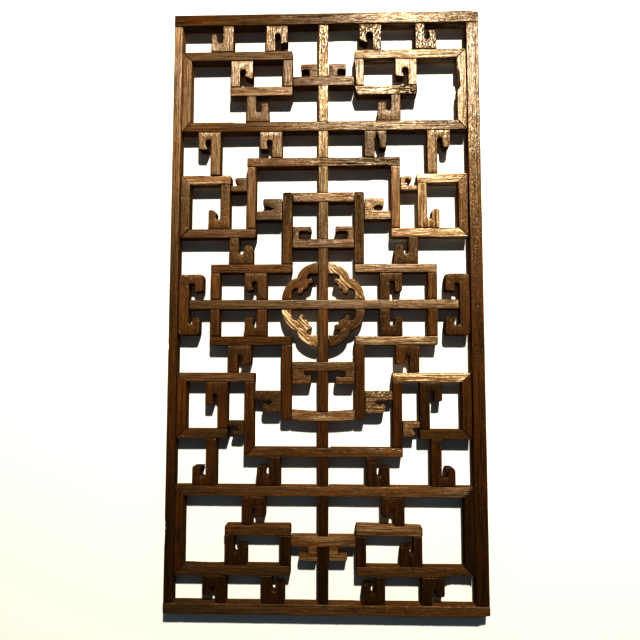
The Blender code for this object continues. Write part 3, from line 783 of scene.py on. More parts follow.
def disc_stations(centre, radius):
    """Stations of a round blob: chords from one side of a circle to the other."""
    turns = np.radians(np.linspace(*BLOB_TURNS, BLOB_POINTS))
    across = centre[0] + radius * np.cos(turns)
    rise = radius * np.sin(turns)
    return np.stack([across, centre[1] + rise, across, centre[1] - rise], axis=-1)


def off_diagonal(stations):
    """Turn stations given across a quarter's diagonal and along it into its own two distances."""
    turned = [np.stack([stations[:, n + 1] + stations[:, n], stations[:, n + 1] - stations[:, n]], axis=-1)
              for n in (0, 2)]
    return (np.hstack(turned) / math.sqrt(2)).tolist()


def ring_heads(name):
    """Boards of the cloud head inside a ring quarter: its body, its middle lobe and its curls."""
    along, half = np.array(HEAD_BODY).T
    body = np.stack([-half, along, half, along], axis=-1)
    blobs = (HEAD_LOBE, *CURLS_CUT.get(name, HEAD_CURLS))
    return [off_diagonal(part) for part in (body, *[disc_stations(blob[:2], blob[2]) for blob in blobs])]


def ease(distance, radius):
    """How far a rounded end draws in at a distance from it: the sagitta of a quarter circle."""
    inside = np.clip(radius - distance, 0, radius)
    return radius - np.sqrt(radius**2 - inside**2) if radius > 0 else np.zeros_like(distance)


def section(cracks, width):
    """Loop of a board's section, as arrays over its points.

    Each point has a share of the width and of the depth, how many corner radii are added to each,
    and the way the surface faces there. A crack adds three columns to the front.
    """
    spread = np.array(FRONT_POINTS)
    half = CRACK_WIDTH / 2 / width
    for crack in cracks:
        spread = spread[np.abs(spread - crack[0]) > 2 * half]
        spread = np.concatenate([spread, [crack[0] - half, crack[0], crack[0] + half]])
    front = np.sort(spread)
    side = np.array(SIDE_POINTS)
    back = np.array(BACK_POINTS)
    turn = np.radians(CORNER_TURNS)
    sine, cosine = np.sin(turn), np.cos(turn)
    one, none = np.ones(2), np.zeros(2)

    def row(share, radii, deep, deep_radii, across, outward):
        parts = (share, radii, deep, deep_radii, across, outward)
        size = max(np.size(part) for part in parts)
        return np.stack([np.broadcast_to(part, size) for part in parts], axis=-1)

    rows = [
        row(front, 1 - 2 * front, 0.0, 0.0, 0.0, -1.0),
        row(one, sine - 1, none, 1 - cosine, sine, -cosine),
        row(1.0, 0.0, side, 1 - 2 * side, 1.0, 0.0),
        row(one, cosine - 1, one, sine - 1, cosine, sine),
        row(back, 1 - 2 * back, 1.0, 0.0, 0.0, 1.0),
        row(none, 1 - sine, one, cosine - 1, -sine, cosine),
        row(0.0, 0.0, side[::-1], 1 - 2 * side[::-1], -1.0, 0.0),
        row(none, 1 - cosine, none, 1 - sine, -cosine, -sine),
    ]
    kinds = np.repeat(ROUND_KINDS, [len(part) for part in rows])
    return np.vstack(rows), kinds


def resample(stations, step, marks):
    """Places along a strip of stations, no further apart than a step on either edge.

    Between stations both edges run straight. Marks are further places, given as distances along
    the middle line. Returns the distances, the outer edge and the inner edge.
    """
    stations = np.asarray(stations, float)
    change = np.diff(stations, axis=0)
    longest = np.maximum(np.hypot(change[:, 0], change[:, 1]), np.hypot(change[:, 2], change[:, 3]))
    counts = np.maximum(np.ceil(longest / step), 1).astype(int)
    order = [n + np.arange(count) / count for n, count in enumerate(counts)] + [np.array([len(counts)])]
    middle = (stations[:, :2] + stations[:, 2:]) / 2
    run = np.concatenate([[0], np.cumsum(np.hypot(*np.diff(middle, axis=0).T))])
    index = np.arange(len(stations))
    marks = np.array([mark for mark in marks if 0 < mark < run[-1]])
    order = np.unique(np.concatenate(order + [np.interp(marks, run, index)]))
    distance = np.interp(order, index, run)
    keep = np.concatenate([[True], np.diff(distance) > MIN_STEP])
    keep[-2:] = [True, True]
    order, distance = order[keep], distance[keep]
    places = np.stack([np.interp(order, index, stations[:, n]) for n in range(4)], axis=-1)
    return distance, places[:, :2], places[:, 2:]


def bitten(distance, bites, edge, seed):
    """How far an edge is worn in along a board: its wander, and each bite as a ragged half round."""
    worn = EDGE_WANDER * line_noise(distance, EDGE_WAVE, seed + edge)
    for which, at, half, depth in bites:
        if which == edge:
            bump = np.sqrt(np.clip(1 - ((distance - at) / half) ** 2, 0, 1))
            ragged = BITE_LEAST + BITE_RAGGED * line_noise(distance, BITE_WAVE, seed + at)
            worn = worn + depth * bump * ragged
    return worn


def fine_places(stations, bites, laps, radii):
    """Distances along a strip at which its edges turn quickly: rounded ends, laps and bites."""
    length = resample(stations, STEP, ())[0][-1]
    marks = []
    for radius in radii:
        marks += [radius * share for share in ROUND_SHARES]
        marks += [length - radius * share for share in ROUND_SHARES]
    for low, high, _ in laps:
        marks += [low - LAP_EDGE, low + LAP_EDGE, high - LAP_EDGE, high + LAP_EDGE]
    for _, at, half, _ in bites:
        marks += list(np.linspace(at - half, at + half, BITE_POINTS + int(half)))
    return marks


def edge_radius(distance, weights, limit, corner, wear, seed):
    """Radius of the corners round each section, in four rows of noise that follow the corners."""
    knocks, dents = (
        np.stack([line_noise(distance, length, seed + apart * n) for n in range(4)], axis=-1)
        for length, apart in ((KNOCK[0], KNOCK_SEEDS), (DENT[0], DENT_SEEDS)))
    dents = DENT[1] * np.clip(dents - DENT_FROM, 0, 1) * wear
    radius = corner * (LEAST_RADIUS + KNOCK[1] * knocks + dents) @ weights
    return np.minimum(radius, RADIUS_SHARE * limit[:, None])


def surface_wear(grain, wear, seed):
    """How deep the surface is worn: long swells, ridges along the grain, and pits."""
    swell, ridge, pit = (noise(grain / (long, wide, wide), seed + n)
                         for n, (long, wide, _) in enumerate((SWELL, RIDGE, PIT)))
    amount = SWELL[2] * wear * swell
    amount += RIDGE[2] * ridge
    amount += PIT[2] * wear * np.clip(pit - PIT_FROM, 0, 1)
    return amount


def flaked(flakes, distance, share, outward, grain, seed):
    """Where and how deep the surface has flaked: ragged patches that fade out along the board."""
    deep = np.zeros(grain.shape[:-1])
    raw = np.zeros_like(deep)
    for start, end, low, high, depth in flakes:
        along = np.clip((distance - start) / FLAKE_FADE, 0, 1) * np.clip((end - distance) / FLAKE_FADE, 0, 1)
        across = np.clip((share - low) * FLAKE_SIDE + 1, 0, 1)
        across = across * np.clip((high - share) * FLAKE_SIDE + 1, 0, 1)
        ragged = noise(grain / (*FLAKE, FLAKE[1]), seed + start) * FLAKE_STEEP - FLAKE_FROM
        ragged = np.clip(ragged, 0, 1)
        mask = along[:, None] * across * ragged * (outward < 0.2)
        deep += depth * mask
        raw = np.maximum(raw, mask)
    return deep, raw


def cracked(cracks, distance, share, is_front, seed):
    """How deep the cracks are: each follows one column of the front and fades out at its ends."""
    deep = np.zeros((len(distance), len(share)))
    for side, start, end, depth in cracks:
        column = is_front & (np.abs(share - side) < 1e-6)
        taper = np.sqrt(np.clip((distance - start) * (end - distance), 0, None)) / (end - start) * 2
        uneven = CRACK_LEAST + line_noise(distance, CRACK_WAVE, seed + start)
        deep += depth * taper[:, None] * column * uneven[:, None]
    return deep


def board(name, stations, quarter=(1, 1), along=LEVEL, depth=None, laps=(), ends=(END_EASE, END_EASE),
          rounds=(0.0, 0.0, 0.0, 0.0), corner=CORNER):
    """A worn board between two edge curves, as vertices in millimetres, faces and the values of wear, dirt,
    painted shade and painted light.

    A vertex lies between the two edges by its share of the width and between front and back by
    its share of the depth, moved in by the corner's radius where the section is round, and then
    moved against the surface's own direction by noise that is long along the grain. rounds are the
    radii of the corners at the start and the end of the outer edge, then of the inner edge.
    """
    seed = seed_of(name)
    wear = bpy.context.scene.lattice_sizes.wear
    harm = DAMAGE.get(name, Damage())
    marks = fine_places(stations, harm.bites, laps, (*ends, *rounds))
    distance, outer, inner = resample(stations, STEP, marks)
    left, right = distance, distance[-1] - distance
    width = np.linalg.norm(inner - outer, axis=-1)
    way = (inner - outer) / width[:, None]
    end_in = ease(left, ends[0]) + ease(right, ends[1])
    outer_in, inner_in = (
        end_in + bitten(distance, harm.bites, edge, seed) + ease(left, starts) + ease(right, finishes)
        for edge, (starts, finishes) in enumerate((rounds[:2], rounds[2:])))
    spare = np.maximum(width * WORN_SHARE, WORN_LEFT) / np.maximum(outer_in + inner_in, 1e-6)
    outer_in, inner_in = outer_in * np.minimum(spare, 1), inner_in * np.minimum(spare, 1)
    outer = outer + way * outer_in[:, None]
    width = width - outer_in - inner_in
    front, back = (np.full_like(distance, at) for at in depth or (LATTICE_FRONT, LATTICE_BACK))
    for low, high, from_front in laps:
        within = (distance > low) & (distance < high)
        if from_front:
            front = np.where(within, LAP + FIT / 2, front)
        else:
            back = np.where(within, LAP - FIT / 2, back)
    front, back = front + end_in, back - end_in

    loop, kinds = section(harm.cracks, np.median(width))
    share, radii, deep, deep_radii, across, outward = loop.T
    weights = np.stack([(1 - share) * (1 - deep), share * (1 - deep), share * deep, (1 - share) * deep])
    radius = edge_radius(distance, weights, np.minimum(width, back - front), corner, wear, seed)
    x = share * width[:, None] + radii * radius
    fall = FACE_FALL * (1 - deep) * (2 * share - 1) ** 2
    y = front[:, None] + fall + deep * (back - front)[:, None] + deep_radii * radius

    turn = np.array(quarter if quarter else (1, 1), float)
    centre = np.array([LATTICE_X, LATTICE_Z]) if quarter else np.zeros(2)
    flat = centre + turn * (outer[:, None, :] + way[:, None, :] * x[..., None])
    grain = grain_places(flat, y, along, turn)
    is_front = kinds == FRONT
    amount = surface_wear(grain, wear, seed)
    flakes, raw = flaked(harm.flakes, distance, share, outward, grain, seed)
    amount += flakes
    amount += cracked(harm.cracks, distance, share, is_front, seed)
    amount *= np.minimum(1.0, width / THIN_BELOW)[:, None]
    x = x - across * amount
    y = y - outward * amount
    flat = centre + turn * (outer[:, None, :] + way[:, None, :] * x[..., None])

    near_edge = np.clip(1 - np.minimum(share, 1 - share) / RUBBED_WIDTH, 0, 1) * is_front * RUBBED
    worn = np.broadcast_to(np.maximum(kinds == EASED, near_edge), x.shape)
    # Darkened ends and back: dirt at the joints, with painted shade there and on the back
    joint_dirt_and_shade = np.clip(1 - np.minimum(left, right) / DIRT_AND_SHADE_LENGTH, 0, 1)[:, None]
    joint_dirt_and_shade = np.maximum(joint_dirt_and_shade * np.ones_like(x), np.where(outward > 0.5, BACK_DIRT_AND_SHADE, 0.0))
    # Sides and back: sawn and rougher, and painted paler as painted light
    sawn_and_lit = np.broadcast_to(np.clip(outward + 1, 0, 1) ** 2, x.shape)
    points = np.stack([flat[..., 0], y, flat[..., 1] + PANEL_CENTRE_Z], axis=-1).reshape(-1, 3)
    return shell(points, *x.shape), np.stack([worn, raw, joint_dirt_and_shade, sawn_and_lit], axis=-1).reshape(-1, 4)


def grain_places(flat, y, along, turn):
    """Places in the wood: along the grain, across it on the face, and in depth, in millimetres."""
    way = np.array(along) * turn
    aside = np.array([-way[1], way[0]])
    return np.stack([flat @ way, flat @ aside, y], axis=-1)


def shell(points, rings, around):
    """Vertices and faces of a closed tube: a square between neighbours, and a cap on each end.

    The faces are turned round where the volume they close comes out negative.
    """
    ring = np.arange(rings - 1)[:, None] * around
    here = np.arange(around)[None, :]
    after = (here + 1) % around
    squares = np.stack([ring + here, ring + after, ring + around + after, ring + around + here], axis=-1)
    squares = squares.reshape(-1, 4)
    first = np.arange(around)[::-1]
    last = np.arange(around) + (rings - 1) * around
    a, b, c, d = (points[squares[:, n]] for n in range(4))
    volume = np.sum(np.cross(a, b) * c) + np.sum(np.cross(a, c) * d)
    for cap in (first, last):
        corner = points[cap]
        volume += np.sum(np.cross(corner[:1], corner[1:-1]) * corner[2:])
    if volume < 0:
        squares, first, last = squares[:, ::-1], first[::-1], last[::-1]
    return points, squares, (first, last)


def keep_on_mesh(mesh, key, values):
    """Keep a number or a vector for each vertex under a name."""
    kind, field = ("FLOAT", "value") if values.ndim == 1 else ("FLOAT_VECTOR", "vector")
    mesh.attributes.new(key, kind, "POINT").data.foreach_set(field, values.astype(np.float32).ravel())


def make_mesh(name, points, squares, caps, values):
    """A mesh from arrays, with its rubbed, raw, dirty and painted-shade, and sawn and painted-light places
    kept on the vertices.
    """
    mesh = bpy.data.meshes.new(name)
    loops = np.concatenate([squares.ravel(), *caps]).astype(np.int32)
    sizes = np.concatenate([np.full(len(squares), 4), [len(cap) for cap in caps]])
    starts = np.concatenate([[0], np.cumsum(sizes)[:-1]]).astype(np.int32)
    mesh.vertices.add(len(points))
    mesh.vertices.foreach_set("co", (points * MM).astype(np.float32).ravel())
    mesh.loops.add(len(loops))
    mesh.loops.foreach_set("vertex_index", loops)
    mesh.polygons.add(len(sizes))
    mesh.polygons.foreach_set("loop_start", starts)
    mesh.update(calc_edges=True)
    for key, column in zip(WEAR_AND_PAINTED_LIGHT_KINDS, values.T):
        keep_on_mesh(mesh, key, column)
    return mesh


def carved(name, parts):
    """One object of one or more overlapping boards, joined into a single skin."""
    objects = []
    for number, ((points, squares, caps), values) in enumerate(parts):
        mesh = make_mesh(name if number == 0 else f"{name}_{number}", points, squares, caps, values)
        obj = bpy.data.objects.new(mesh.name, mesh)
        bpy.context.scene.collection.objects.link(obj)
        objects.append(obj)
    whole = objects[0]
    for helper in objects[1:]:
        step = whole.modifiers.new("join", "BOOLEAN")
        step.operation = "UNION"
        step.solver = "EXACT"
        step.object = helper
    if len(objects) > 1:
        graph = bpy.context.evaluated_depsgraph_get()
        joined = bpy.data.meshes.new_from_object(whole.evaluated_get(graph))
        whole.modifiers.clear()
        whole.data = joined
        joined.name = name
        for helper in objects[1:]:
            bpy.data.objects.remove(helper)
    return whole


def finish_piece(obj, name, node, slot, along, quarter):
    """Give a piece its grain and tone, its material, and its place in the frame."""
    mesh = obj.data
    turn = np.array(quarter if quarter else (1, 1), float)
    points = np.zeros(len(mesh.vertices) * 3, np.float32)
    mesh.vertices.foreach_get("co", points)
    points = points.reshape(-1, 3).astype(float) / MM
    seed = seed_of(name)
    grain = grain_places(points[:, [0, 2]], points[:, 1], along, turn)
    shift = cell_values(np.array(SHIFT_CELLS), seed) * GRAIN_SHIFT
    keep_on_mesh(mesh, "grain", grain + shift)
    way = np.array(along) * turn
    keep_on_mesh(mesh, "fibre", np.tile([way[0], 0.0, way[1]], (len(points), 1)))
    chance = float(cell_values(np.array([SHADE_CELL]), seed + SHADE_SEED)[0])
    look = LOOKS.get(name, HOOK_LOOK if "hook" in name else Look())
    share = (grain[:, 0] - grain[:, 0].min()) / np.ptp(grain[:, 0])
    height = points[:, 2] - PANEL_CENTRE_Z
    low = np.clip((height - FOOT_FROM) / (FOOT_TO - FOOT_FROM), 0, 1) * DARK_FOOT.get(along, 0.0)
    columns = {}
    for key, value in look._asdict().items():
        stops = np.atleast_1d(value)
        columns[key] = np.interp(share, np.linspace(0, 1, len(stops)), stops)
    columns["shade"] = columns["shade"] * (1 + SHADE_SPREAD * (2 * chance - 1)) * (1 - low)
    away = np.clip((VARNISH_FROM - height - VARNISH_TURN * points[:, 0]) / VARNISH_OVER, 0, 1)
    columns["dull"] = np.maximum(columns["dull"], away * THIN_VARNISH.get(along, 0.0))
    for key, column in columns.items():
        keep_on_mesh(mesh, key, column)
    mesh.polygons.foreach_set("use_smooth", np.ones(len(mesh.polygons), bool))
    mesh.set_sharp_from_angle(angle=math.radians(SHARP_ANGLE))
    mesh.materials.clear()
    mesh.materials.append(wood(slot))
    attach(obj, "root")
    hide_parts(node)


def add_piece(name, stations, node=None, quarter=(1, 1), along=LEVEL, slot="lattice_wood", more=(), **form):
    """Make one piece of the panel from its stations, with more boards carved from the same wood."""
    stations = np.asarray(stations, float)
    stations[[0, -1]] += ASKEW.get(name, 0.0)
    parts = [board(name, stations, quarter, along, **form)]
    inside = (LATTICE_FRONT + INSIDE, LATTICE_BACK - INSIDE)
    parts += [board(f"{name}_{n}", extra, quarter, along, depth=inside) for n, extra in enumerate(more)]
    obj = carved(name, parts)
    finish_piece(obj, name, node or name, slot, along, quarter)


def hand_cut(form, name):
    """The form of a kind of hook with what the carver did differently on one of them."""
    return form._replace(**HAND_CUT.get(name, {}))


def add_hook(kind, hook, place, foot, up, end, node=None, slot="lattice_wood"):
    """Make the hook of a kind in one quarter: its foot, which way its tip points, its stem's length."""
    name = f"{kind}_{place}"
    add_piece(name, set_hook(hand_cut(hook, name), foot, up, end), node, QUARTERS[place], UPRIGHT, slot)


def srgb(hex_colour):
    """Linear colour from an sRGB hex value: each channel through the sRGB curve."""
    channels = [int(hex_colour[n:n + 2], 16) / 255 for n in (1, 3, 5)]
    return tuple(c / 12.92 if c <= 0.04045 else ((c + 0.055) / 1.055) ** 2.4 for c in channels)


def colour_setting(name, description, hex_colour):
    """A colour that a user can change."""
    return bpy.props.FloatVectorProperty(
        name=name, description=description, size=3, subtype="COLOR", default=srgb(hex_colour),
        min=0.0, max=1.0)


class LatticeSizes(bpy.types.PropertyGroup):
    """Sizes of the panel that a user would change."""

    frame_ease: bpy.props.FloatProperty(
        name="Frame edge", description="Radius of the frame's worn edges", default=FRAME_EASE * MM,
        unit="LENGTH")
    wear: bpy.props.FloatProperty(
        name="Wear", description="How deep the surface is worn", default=1.0, min=0.0, max=2.0,
        subtype="FACTOR")
    end_bow: bpy.props.FloatProperty(
        name="End rail bow", description="How far the lower end rail has bowed", default=END_RAIL_BOW * MM,
        unit="LENGTH")
    bracket_round: bpy.props.FloatProperty(
        name="Bracket corner", description="Radius of a stile bracket's corners", default=BRACKET_ROUND * MM,
        unit="LENGTH")


class LatticeFinish(bpy.types.PropertyGroup):
    """Colours and gloss of the stained wood."""

    dark: colour_setting("Dark grain", "Colour of the darkest grain", "#200b03")
    middle: colour_setting("Stain", "Colour of the stained wood", "#441d06")
    light: colour_setting("Honey grain", "Colour of the palest grain", "#7c4b10")
    bare: colour_setting("Bare wood", "Colour where the stain has flaked off", "#f6e0b8")
    gloss: colour_setting("Gloss", "Tint of the light that the polished fibres throw back", "#ffd98a")


class StageSettings(bpy.types.PropertyGroup):
    """Light, wall and floor."""

    key_power: bpy.props.FloatProperty(
        name="Key light", description="Power of the key light", default=244.0, unit="POWER")
    key_size: bpy.props.FloatProperty(
        name="Key size", description="Width of the key light", default=0.2, unit="LENGTH")
    fill: bpy.props.FloatProperty(
        name="Fill", description="Strength of the even light from all round", default=0.14, min=0.0)
    wall: colour_setting("Wall", "Colour of the wall", "#f4f6f3")


def add_node(tree, kind, inputs=None, **settings):
    """Add a node. settings are its own fields, inputs its sockets, each a value or another output."""
    node = tree.nodes.new(kind)
    for key, value in settings.items():
        setattr(node, key, value)
    for key, value in (inputs or {}).items():
        if isinstance(value, bpy.types.NodeSocket):
            tree.links.new(value, node.inputs[key])
        else:
            node.inputs[key].default_value = value
    return node


# What sets each kind of piece apart: name of the material, how bright, how rough
WOODS = {
    "frame_wood": ("stained_fir_planed_frame", 1.03, 0.42),
    "lattice_wood": ("stained_fir_planed_bars", 1.1, 0.41),
    "hook_wood": ("stained_fir_carved_hooks", 1.05, 0.43),
}

# Varnished wood: how it bends and throws back light, how far the gloss is stretched across the fibres
# and which way, and how rough and dense the clear varnish is
WOOD_BENDING = 1.55
WOOD_GLOSS = 0.72
GLOSS_STRETCH = 0.45
ACROSS_FIBRES = 0.25
COAT_ROUGHNESS = 0.25
COAT_BENDING = 1.65
COAT_LEAST = 0.5

# How strongly the relief shows, and how deep it is, in metres
RELIEF_STRENGTH = 0.8
RELIEF_DEPTH = 0.0005

# Where a pattern lies at 0 and at 1, how much it darkens or lightens the stain, and how much paler the sides
# and back are painted as painted light
BLOTCH_TONES = (0.66, 1.3)
PATCH_TONES = (0.85, 1.12)
SIDES_PAINTED_LIGHTER = 0.4

# Faded stain: how much brighter than the palest grain, how much bare wood shows, and its most
FADED_LIGHT = 1.45
FADED_BARE = 0.08
FADED_MOST = 0.6

# Dirt in hollows, and the dirt and painted shade at joints and on the back, is the darkest grain, darkened
# to this share
DIRT_SHARE = 0.25

# How much of the colour a growth line, a fibre, a rubbed place and a flaked line take over, how much dirt
# lies in a pit, how much dirt and painted shade lie at a joint, and how much dirt lies in a speck and in a
# furrow
LINE_SHOWS = 0.65
FIBRE_SHOWS = 0.25
RUBBED_SHOWS = 0.45
FLAKED_SHOWS = 0.6
PIT_DIRT = 0.6
JOINT_DIRT_AND_SHADE = 0.55
SPECK_DIRT = 0.8
FURROW_DIRT = 0.55


def wood(slot):
    """Old fir, planed or carved by hand, stained dark brown and rubbed with varnish.

    To the eye it is a deep red brown with honey streaks along the grain, a gloss that is stretched across
    the fibres and broken by pits, pale worn corners, dark dirt with painted shade where pieces meet and on
    the back, and sides and back painted paler as painted light.
    """
    name, bright, rough = WOODS[slot]
    material = bpy.data.materials.get(name)
    if material:
        return material
    finish = bpy.context.scene.lattice_finish
    material = bpy.data.materials.new(name)
    material.use_nodes = True
    tree = material.node_tree
    tree.nodes.clear()

    def kept(key, output="Fac"):
        """What a mesh keeps on its vertices under a name."""
        return add_node(tree, "ShaderNodeAttribute", attribute_name=key).outputs[output]

    def math_of(operation, first, second, **settings):
        """One sum of two values."""
        inputs = {0: first, 1: second}
        return add_node(tree, "ShaderNodeMath", inputs, operation=operation, **settings).outputs[0]

    times = partial(math_of, "MULTIPLY")
    larger = partial(math_of, "MAXIMUM")

    def summed(total, *weighted):
        """A value with others added to it, each times its own weight."""
        for value, weight in weighted:
            total = math_of("ADD", total, times(value, weight))
        return total

    def spread_out(value, low, high):
        """Stretch a value so that low becomes 0 and high becomes 1."""
        inputs = {"Value": value, "From Min": low, "From Max": high, "To Min": 0.0, "To Max": 1.0}
        return add_node(tree, "ShaderNodeMapRange", inputs, clamp=True).outputs["Result"]

    def pattern(along, across, detail, low, high, roughness=0.55):
        """Noise in patches of a length along the grain and a width across it, in millimetres.

        What lies below low becomes 0, and what lies above high becomes 1.
        """
        inputs = {0: grain, 1: (1 / along, 1 / across, 1 / across)}
        spread = add_node(tree, "ShaderNodeVectorMath", inputs, operation="MULTIPLY").outputs["Vector"]
        inputs = {"Vector": spread, "Scale": 1.0, "Detail": detail, "Roughness": roughness}
        return spread_out(add_node(tree, "ShaderNodeTexNoise", inputs).outputs["Fac"], low, high)

    def mixed(factor, first, second, blend="MIX"):
        """Two colours mixed by a factor."""
        inputs = {0: factor, 6: first, 7: second}
        return add_node(tree, "ShaderNodeMix", inputs, data_type="RGBA", blend_type=blend).outputs[2]

    def grey_between(value, tones):
        """A grey that runs from the first tone to the second."""
        return mixed(value, *[(tone, tone, tone, 1.0) for tone in tones])

    grain = kept("grain", "Vector")
    fibre = kept("fibre", "Vector")
    shade, faded, dull, mottle = (kept(key) for key in Look._fields)
    worn, raw, joint_dirt_and_shade, sawn_and_lit = (kept(key) for key in WEAR_AND_PAINTED_LIGHT_KINDS)

    # Broad bands of growth, 9 mm wide and 150 mm long
    bands = pattern(150.0, 9.0, 3.0, 0.32, 0.68)
    # Single growth lines, drawn 2.4 mm wide so that they show in the picture
    lines = pattern(60.0, 2.4, 3.0, 0.36, 0.64, 0.6)
    # Fibres, drawn 1 mm wide
    fibres = pattern(22.0, 1.0, 2.0, 0.3, 0.7)
    # Blotches of stain of some 9 by 5 mm, and broad patches of 70 by 30 mm
    blotches = pattern(9.0, 5.0, 4.0, 0.3, 0.7, 0.65)
    patches = pattern(70.0, 30.0, 2.0, 0.35, 0.65)
    # Pits and dents of 7 by 2.4 mm
    pits = pattern(7.0, 2.4, 2.0, 0.6, 0.72)
    # Dark specks in the varnish, 4.5 by 2 mm, where a piece is mottled or flaked
    specks = times(larger(mottle, raw), pattern(4.5, 2.0, 1.0, 0.5, 0.58))
    # Stripes of open grain on faded wood, 2.8 mm wide
    stripes = times(faded, pattern(70.0, 2.8, 1.0, 0.5, 0.56))
    # Sparse dark growth lines, drawn 2 mm wide
    furrows = pattern(45.0, 2.0, 2.0, 0.58, 0.66, 0.6)
    # Where the varnish still lies thick and clear, in flecks of 20 by 2 mm
    flecks = pattern(20.0, 2.0, 3.0, 0.35, 0.65, 0.65)

    dark, middle, light, bare = (
        (*colour, 1.0) for colour in (finish.dark, finish.middle, finish.light, finish.bare))
    pale = [FADED_LIGHT * c + FADED_BARE * b for c, b in zip(finish.light, finish.bare)]
    dirt = [DIRT_SHARE * c for c in finish.dark]
    colour = mixed(bands, dark, middle)
    colour = mixed(times(lines, LINE_SHOWS), colour, light)
    colour = mixed(times(fibres, FIBRE_SHOWS), colour, dark)
    colour = mixed(1.0, colour, grey_between(blotches, BLOTCH_TONES), "MULTIPLY")
    colour = mixed(1.0, colour, grey_between(patches, PATCH_TONES), "MULTIPLY")
    # Sides and back are painted paler: painted light that brightens the faces the key light reaches at a
    # slant
    strength = times(shade, summed(bright, (sawn_and_lit, SIDES_PAINTED_LIGHTER * bright)))
    grey = add_node(tree, "ShaderNodeCombineColor", dict.fromkeys(("Red", "Green", "Blue"), strength))
    colour = mixed(1.0, colour, grey.outputs["Color"], "MULTIPLY")
    # Faded stain is paler and yellower
    colour = mixed(times(faded, FADED_MOST), colour, (*pale, 1.0))
    colour = mixed(stripes, colour, bare)
    rubbed = times(worn, spread_out(blotches, 0.25, 0.9))
    colour = mixed(times(rubbed, RUBBED_SHOWS), colour, light)
    flaked_lines = times(raw, lines)
    colour = mixed(times(flaked_lines, FLAKED_SHOWS), colour, bare)
    # Dark places: dirt in pits, specks and furrows, and dirt with painted shade at the joints and on the
    # back
    hollow = larger(times(pits, PIT_DIRT), times(joint_dirt_and_shade, JOINT_DIRT_AND_SHADE))
    hollow = larger(hollow, times(specks, SPECK_DIRT))
    hollow = larger(hollow, times(furrows, FURROW_DIRT))
    colour = mixed(hollow, colour, (*dirt, 1.0))

    # Blotches are smoother than the rest; flaked, dull, sawn, specked and furrowed wood is rougher
    roughness = summed(rough + 0.12, (blotches, -0.14), (flaked_lines, 0.25), (dull, 0.35))
    roughness = larger(larger(roughness, times(sawn_and_lit, 0.85)), times(specks, 0.8))
    roughness = summed(roughness, (furrows, 0.18))
    # Fibres, blotches, lines and stripes stand up; pits, specks and furrows lie deep
    height = summed(times(fibres, 0.4), (blotches, 0.4), (lines, 0.25), (larger(pits, specks), -0.8),
                    (furrows, -0.5), (stripes, 0.8))
    relief = {"Strength": RELIEF_STRENGTH, "Distance": RELIEF_DEPTH, "Height": height}
    normal = add_node(tree, "ShaderNodeBump", relief).outputs["Normal"]
    # Clear varnish lies thickest on the flecks, and is gone where the wood is dull, specked or furrowed
    clear = math_of("SUBTRACT", 1.0, larger(dull, specks), use_clamp=True)
    clear = times(clear, summed(1.0, (furrows, -0.7)))
    coat = times(clear, summed(COAT_LEAST, (flecks, 1.0 - COAT_LEAST)))
    shader = add_node(tree, "ShaderNodeBsdfPrincipled", {
        "Base Color": colour,
        "Roughness": roughness,
        "IOR": WOOD_BENDING,
        "Specular IOR Level": WOOD_GLOSS,
        "Specular Tint": (*finish.gloss, 1.0),
        "Anisotropic": GLOSS_STRETCH,
        "Anisotropic Rotation": ACROSS_FIBRES,
        "Tangent": fibre,
        "Normal": normal,
        "Coat Weight": coat,
        "Coat Roughness": COAT_ROUGHNESS,
        "Coat IOR": COAT_BENDING,
        "Coat Normal": normal,
    })
    add_node(tree, "ShaderNodeOutputMaterial", {"Surface": shader.outputs["BSDF"]})
    return material


class LATTICE_OT_frame(bpy.types.Operator):
    """Make the outer frame: rails over the full width, and stiles between them"""

    bl_idname = "lattice.frame"
    bl_label = "Outer frame"

    def execute(self, context):
        wide, high = PANEL_WIDTH / 2, PANEL_HEIGHT / 2
        below, above = BOTTOM_RAIL - high + FIT, high - TOP_RAIL - FIT
        form = {"quarter": None, "slot": "frame_wood", "depth": (-FRAME_DEPTH, 0.0),
                "corner": context.scene.lattice_sizes.frame_ease / MM}
        rail = [(-wide, high, -wide, high - TOP_RAIL), (wide, high, wide, high - TOP_RAIL)]
        add_piece("top_rail", rail, **form)
        rail = [(-wide, -high, -wide, BOTTOM_RAIL - high), (wide, -high, wide, BOTTOM_RAIL - high)]
        add_piece("bottom_rail", rail, rounds=(0.0, RAIL_CORNER, 0.0, 0.0), **form)
        stile = [(-wide, below, LEFT_STILE - wide, below), (-wide, above, LEFT_STILE - wide, above)]
        add_piece("left_stile", stile, along=UPRIGHT, **form)
        stile = [(wide, below, wide - RIGHT_STILE, below), (wide, above, wide - RIGHT_STILE, above)]
        add_piece("right_stile", stile, along=UPRIGHT, **form)
        return {"FINISHED"}


def crossing_lines():
    """Level bars that cross the centre post, as lower and upper edge."""
    lines = [(-CENTRE_RAIL / 2, CENTRE_RAIL / 2)]
    for line in (INNER_BRIDGE, END_RAIL, STEP_RAIL, CROSS_RAIL, OUTER_BRIDGE):
        low, high = edges(line)
        bow = END_RAIL_BOW if line == END_RAIL else 0.0
        lines += [(low, high), (-high - bow, -low - bow)]
    return lines


def lap_at(half):
    """Where a level bar that starts a half length before the centre is halved for the centre post."""
    gap = CENTRE_POST / 2 + FIT
    return ((half - gap, half + gap, False),)


class LATTICE_OT_centre(bpy.types.Operator):
    """Make the centre post and the centre rail, halved into each other"""

    bl_idname = "lattice.centre"
    bl_label = "Centre post and rail"

    def execute(self, context):
        foot, end = FIT - frame_edge(-1), frame_edge(1) - FIT
        half = CENTRE_POST / 2
        laps = [(low - FIT - foot, high + FIT - foot, True) for low, high in crossing_lines()]
        add_piece("centre_post", [(half, foot, -half, foot), (half, end, -half, end)], along=UPRIGHT,
                  laps=laps, depth=(LATTICE_FRONT + SET_BACK, LATTICE_BACK - SET_BACK))
        wide = BRACKET.back - BRACKET.stem - FIT
        rail = CENTRE_RAIL / 2
        add_piece("centre_rail", [(-wide, rail, -wide, -rail), (wide, rail, wide, -rail)],
                  laps=lap_at(wide), ends=(WORN_END, WORN_END))
        return {"FINISHED"}


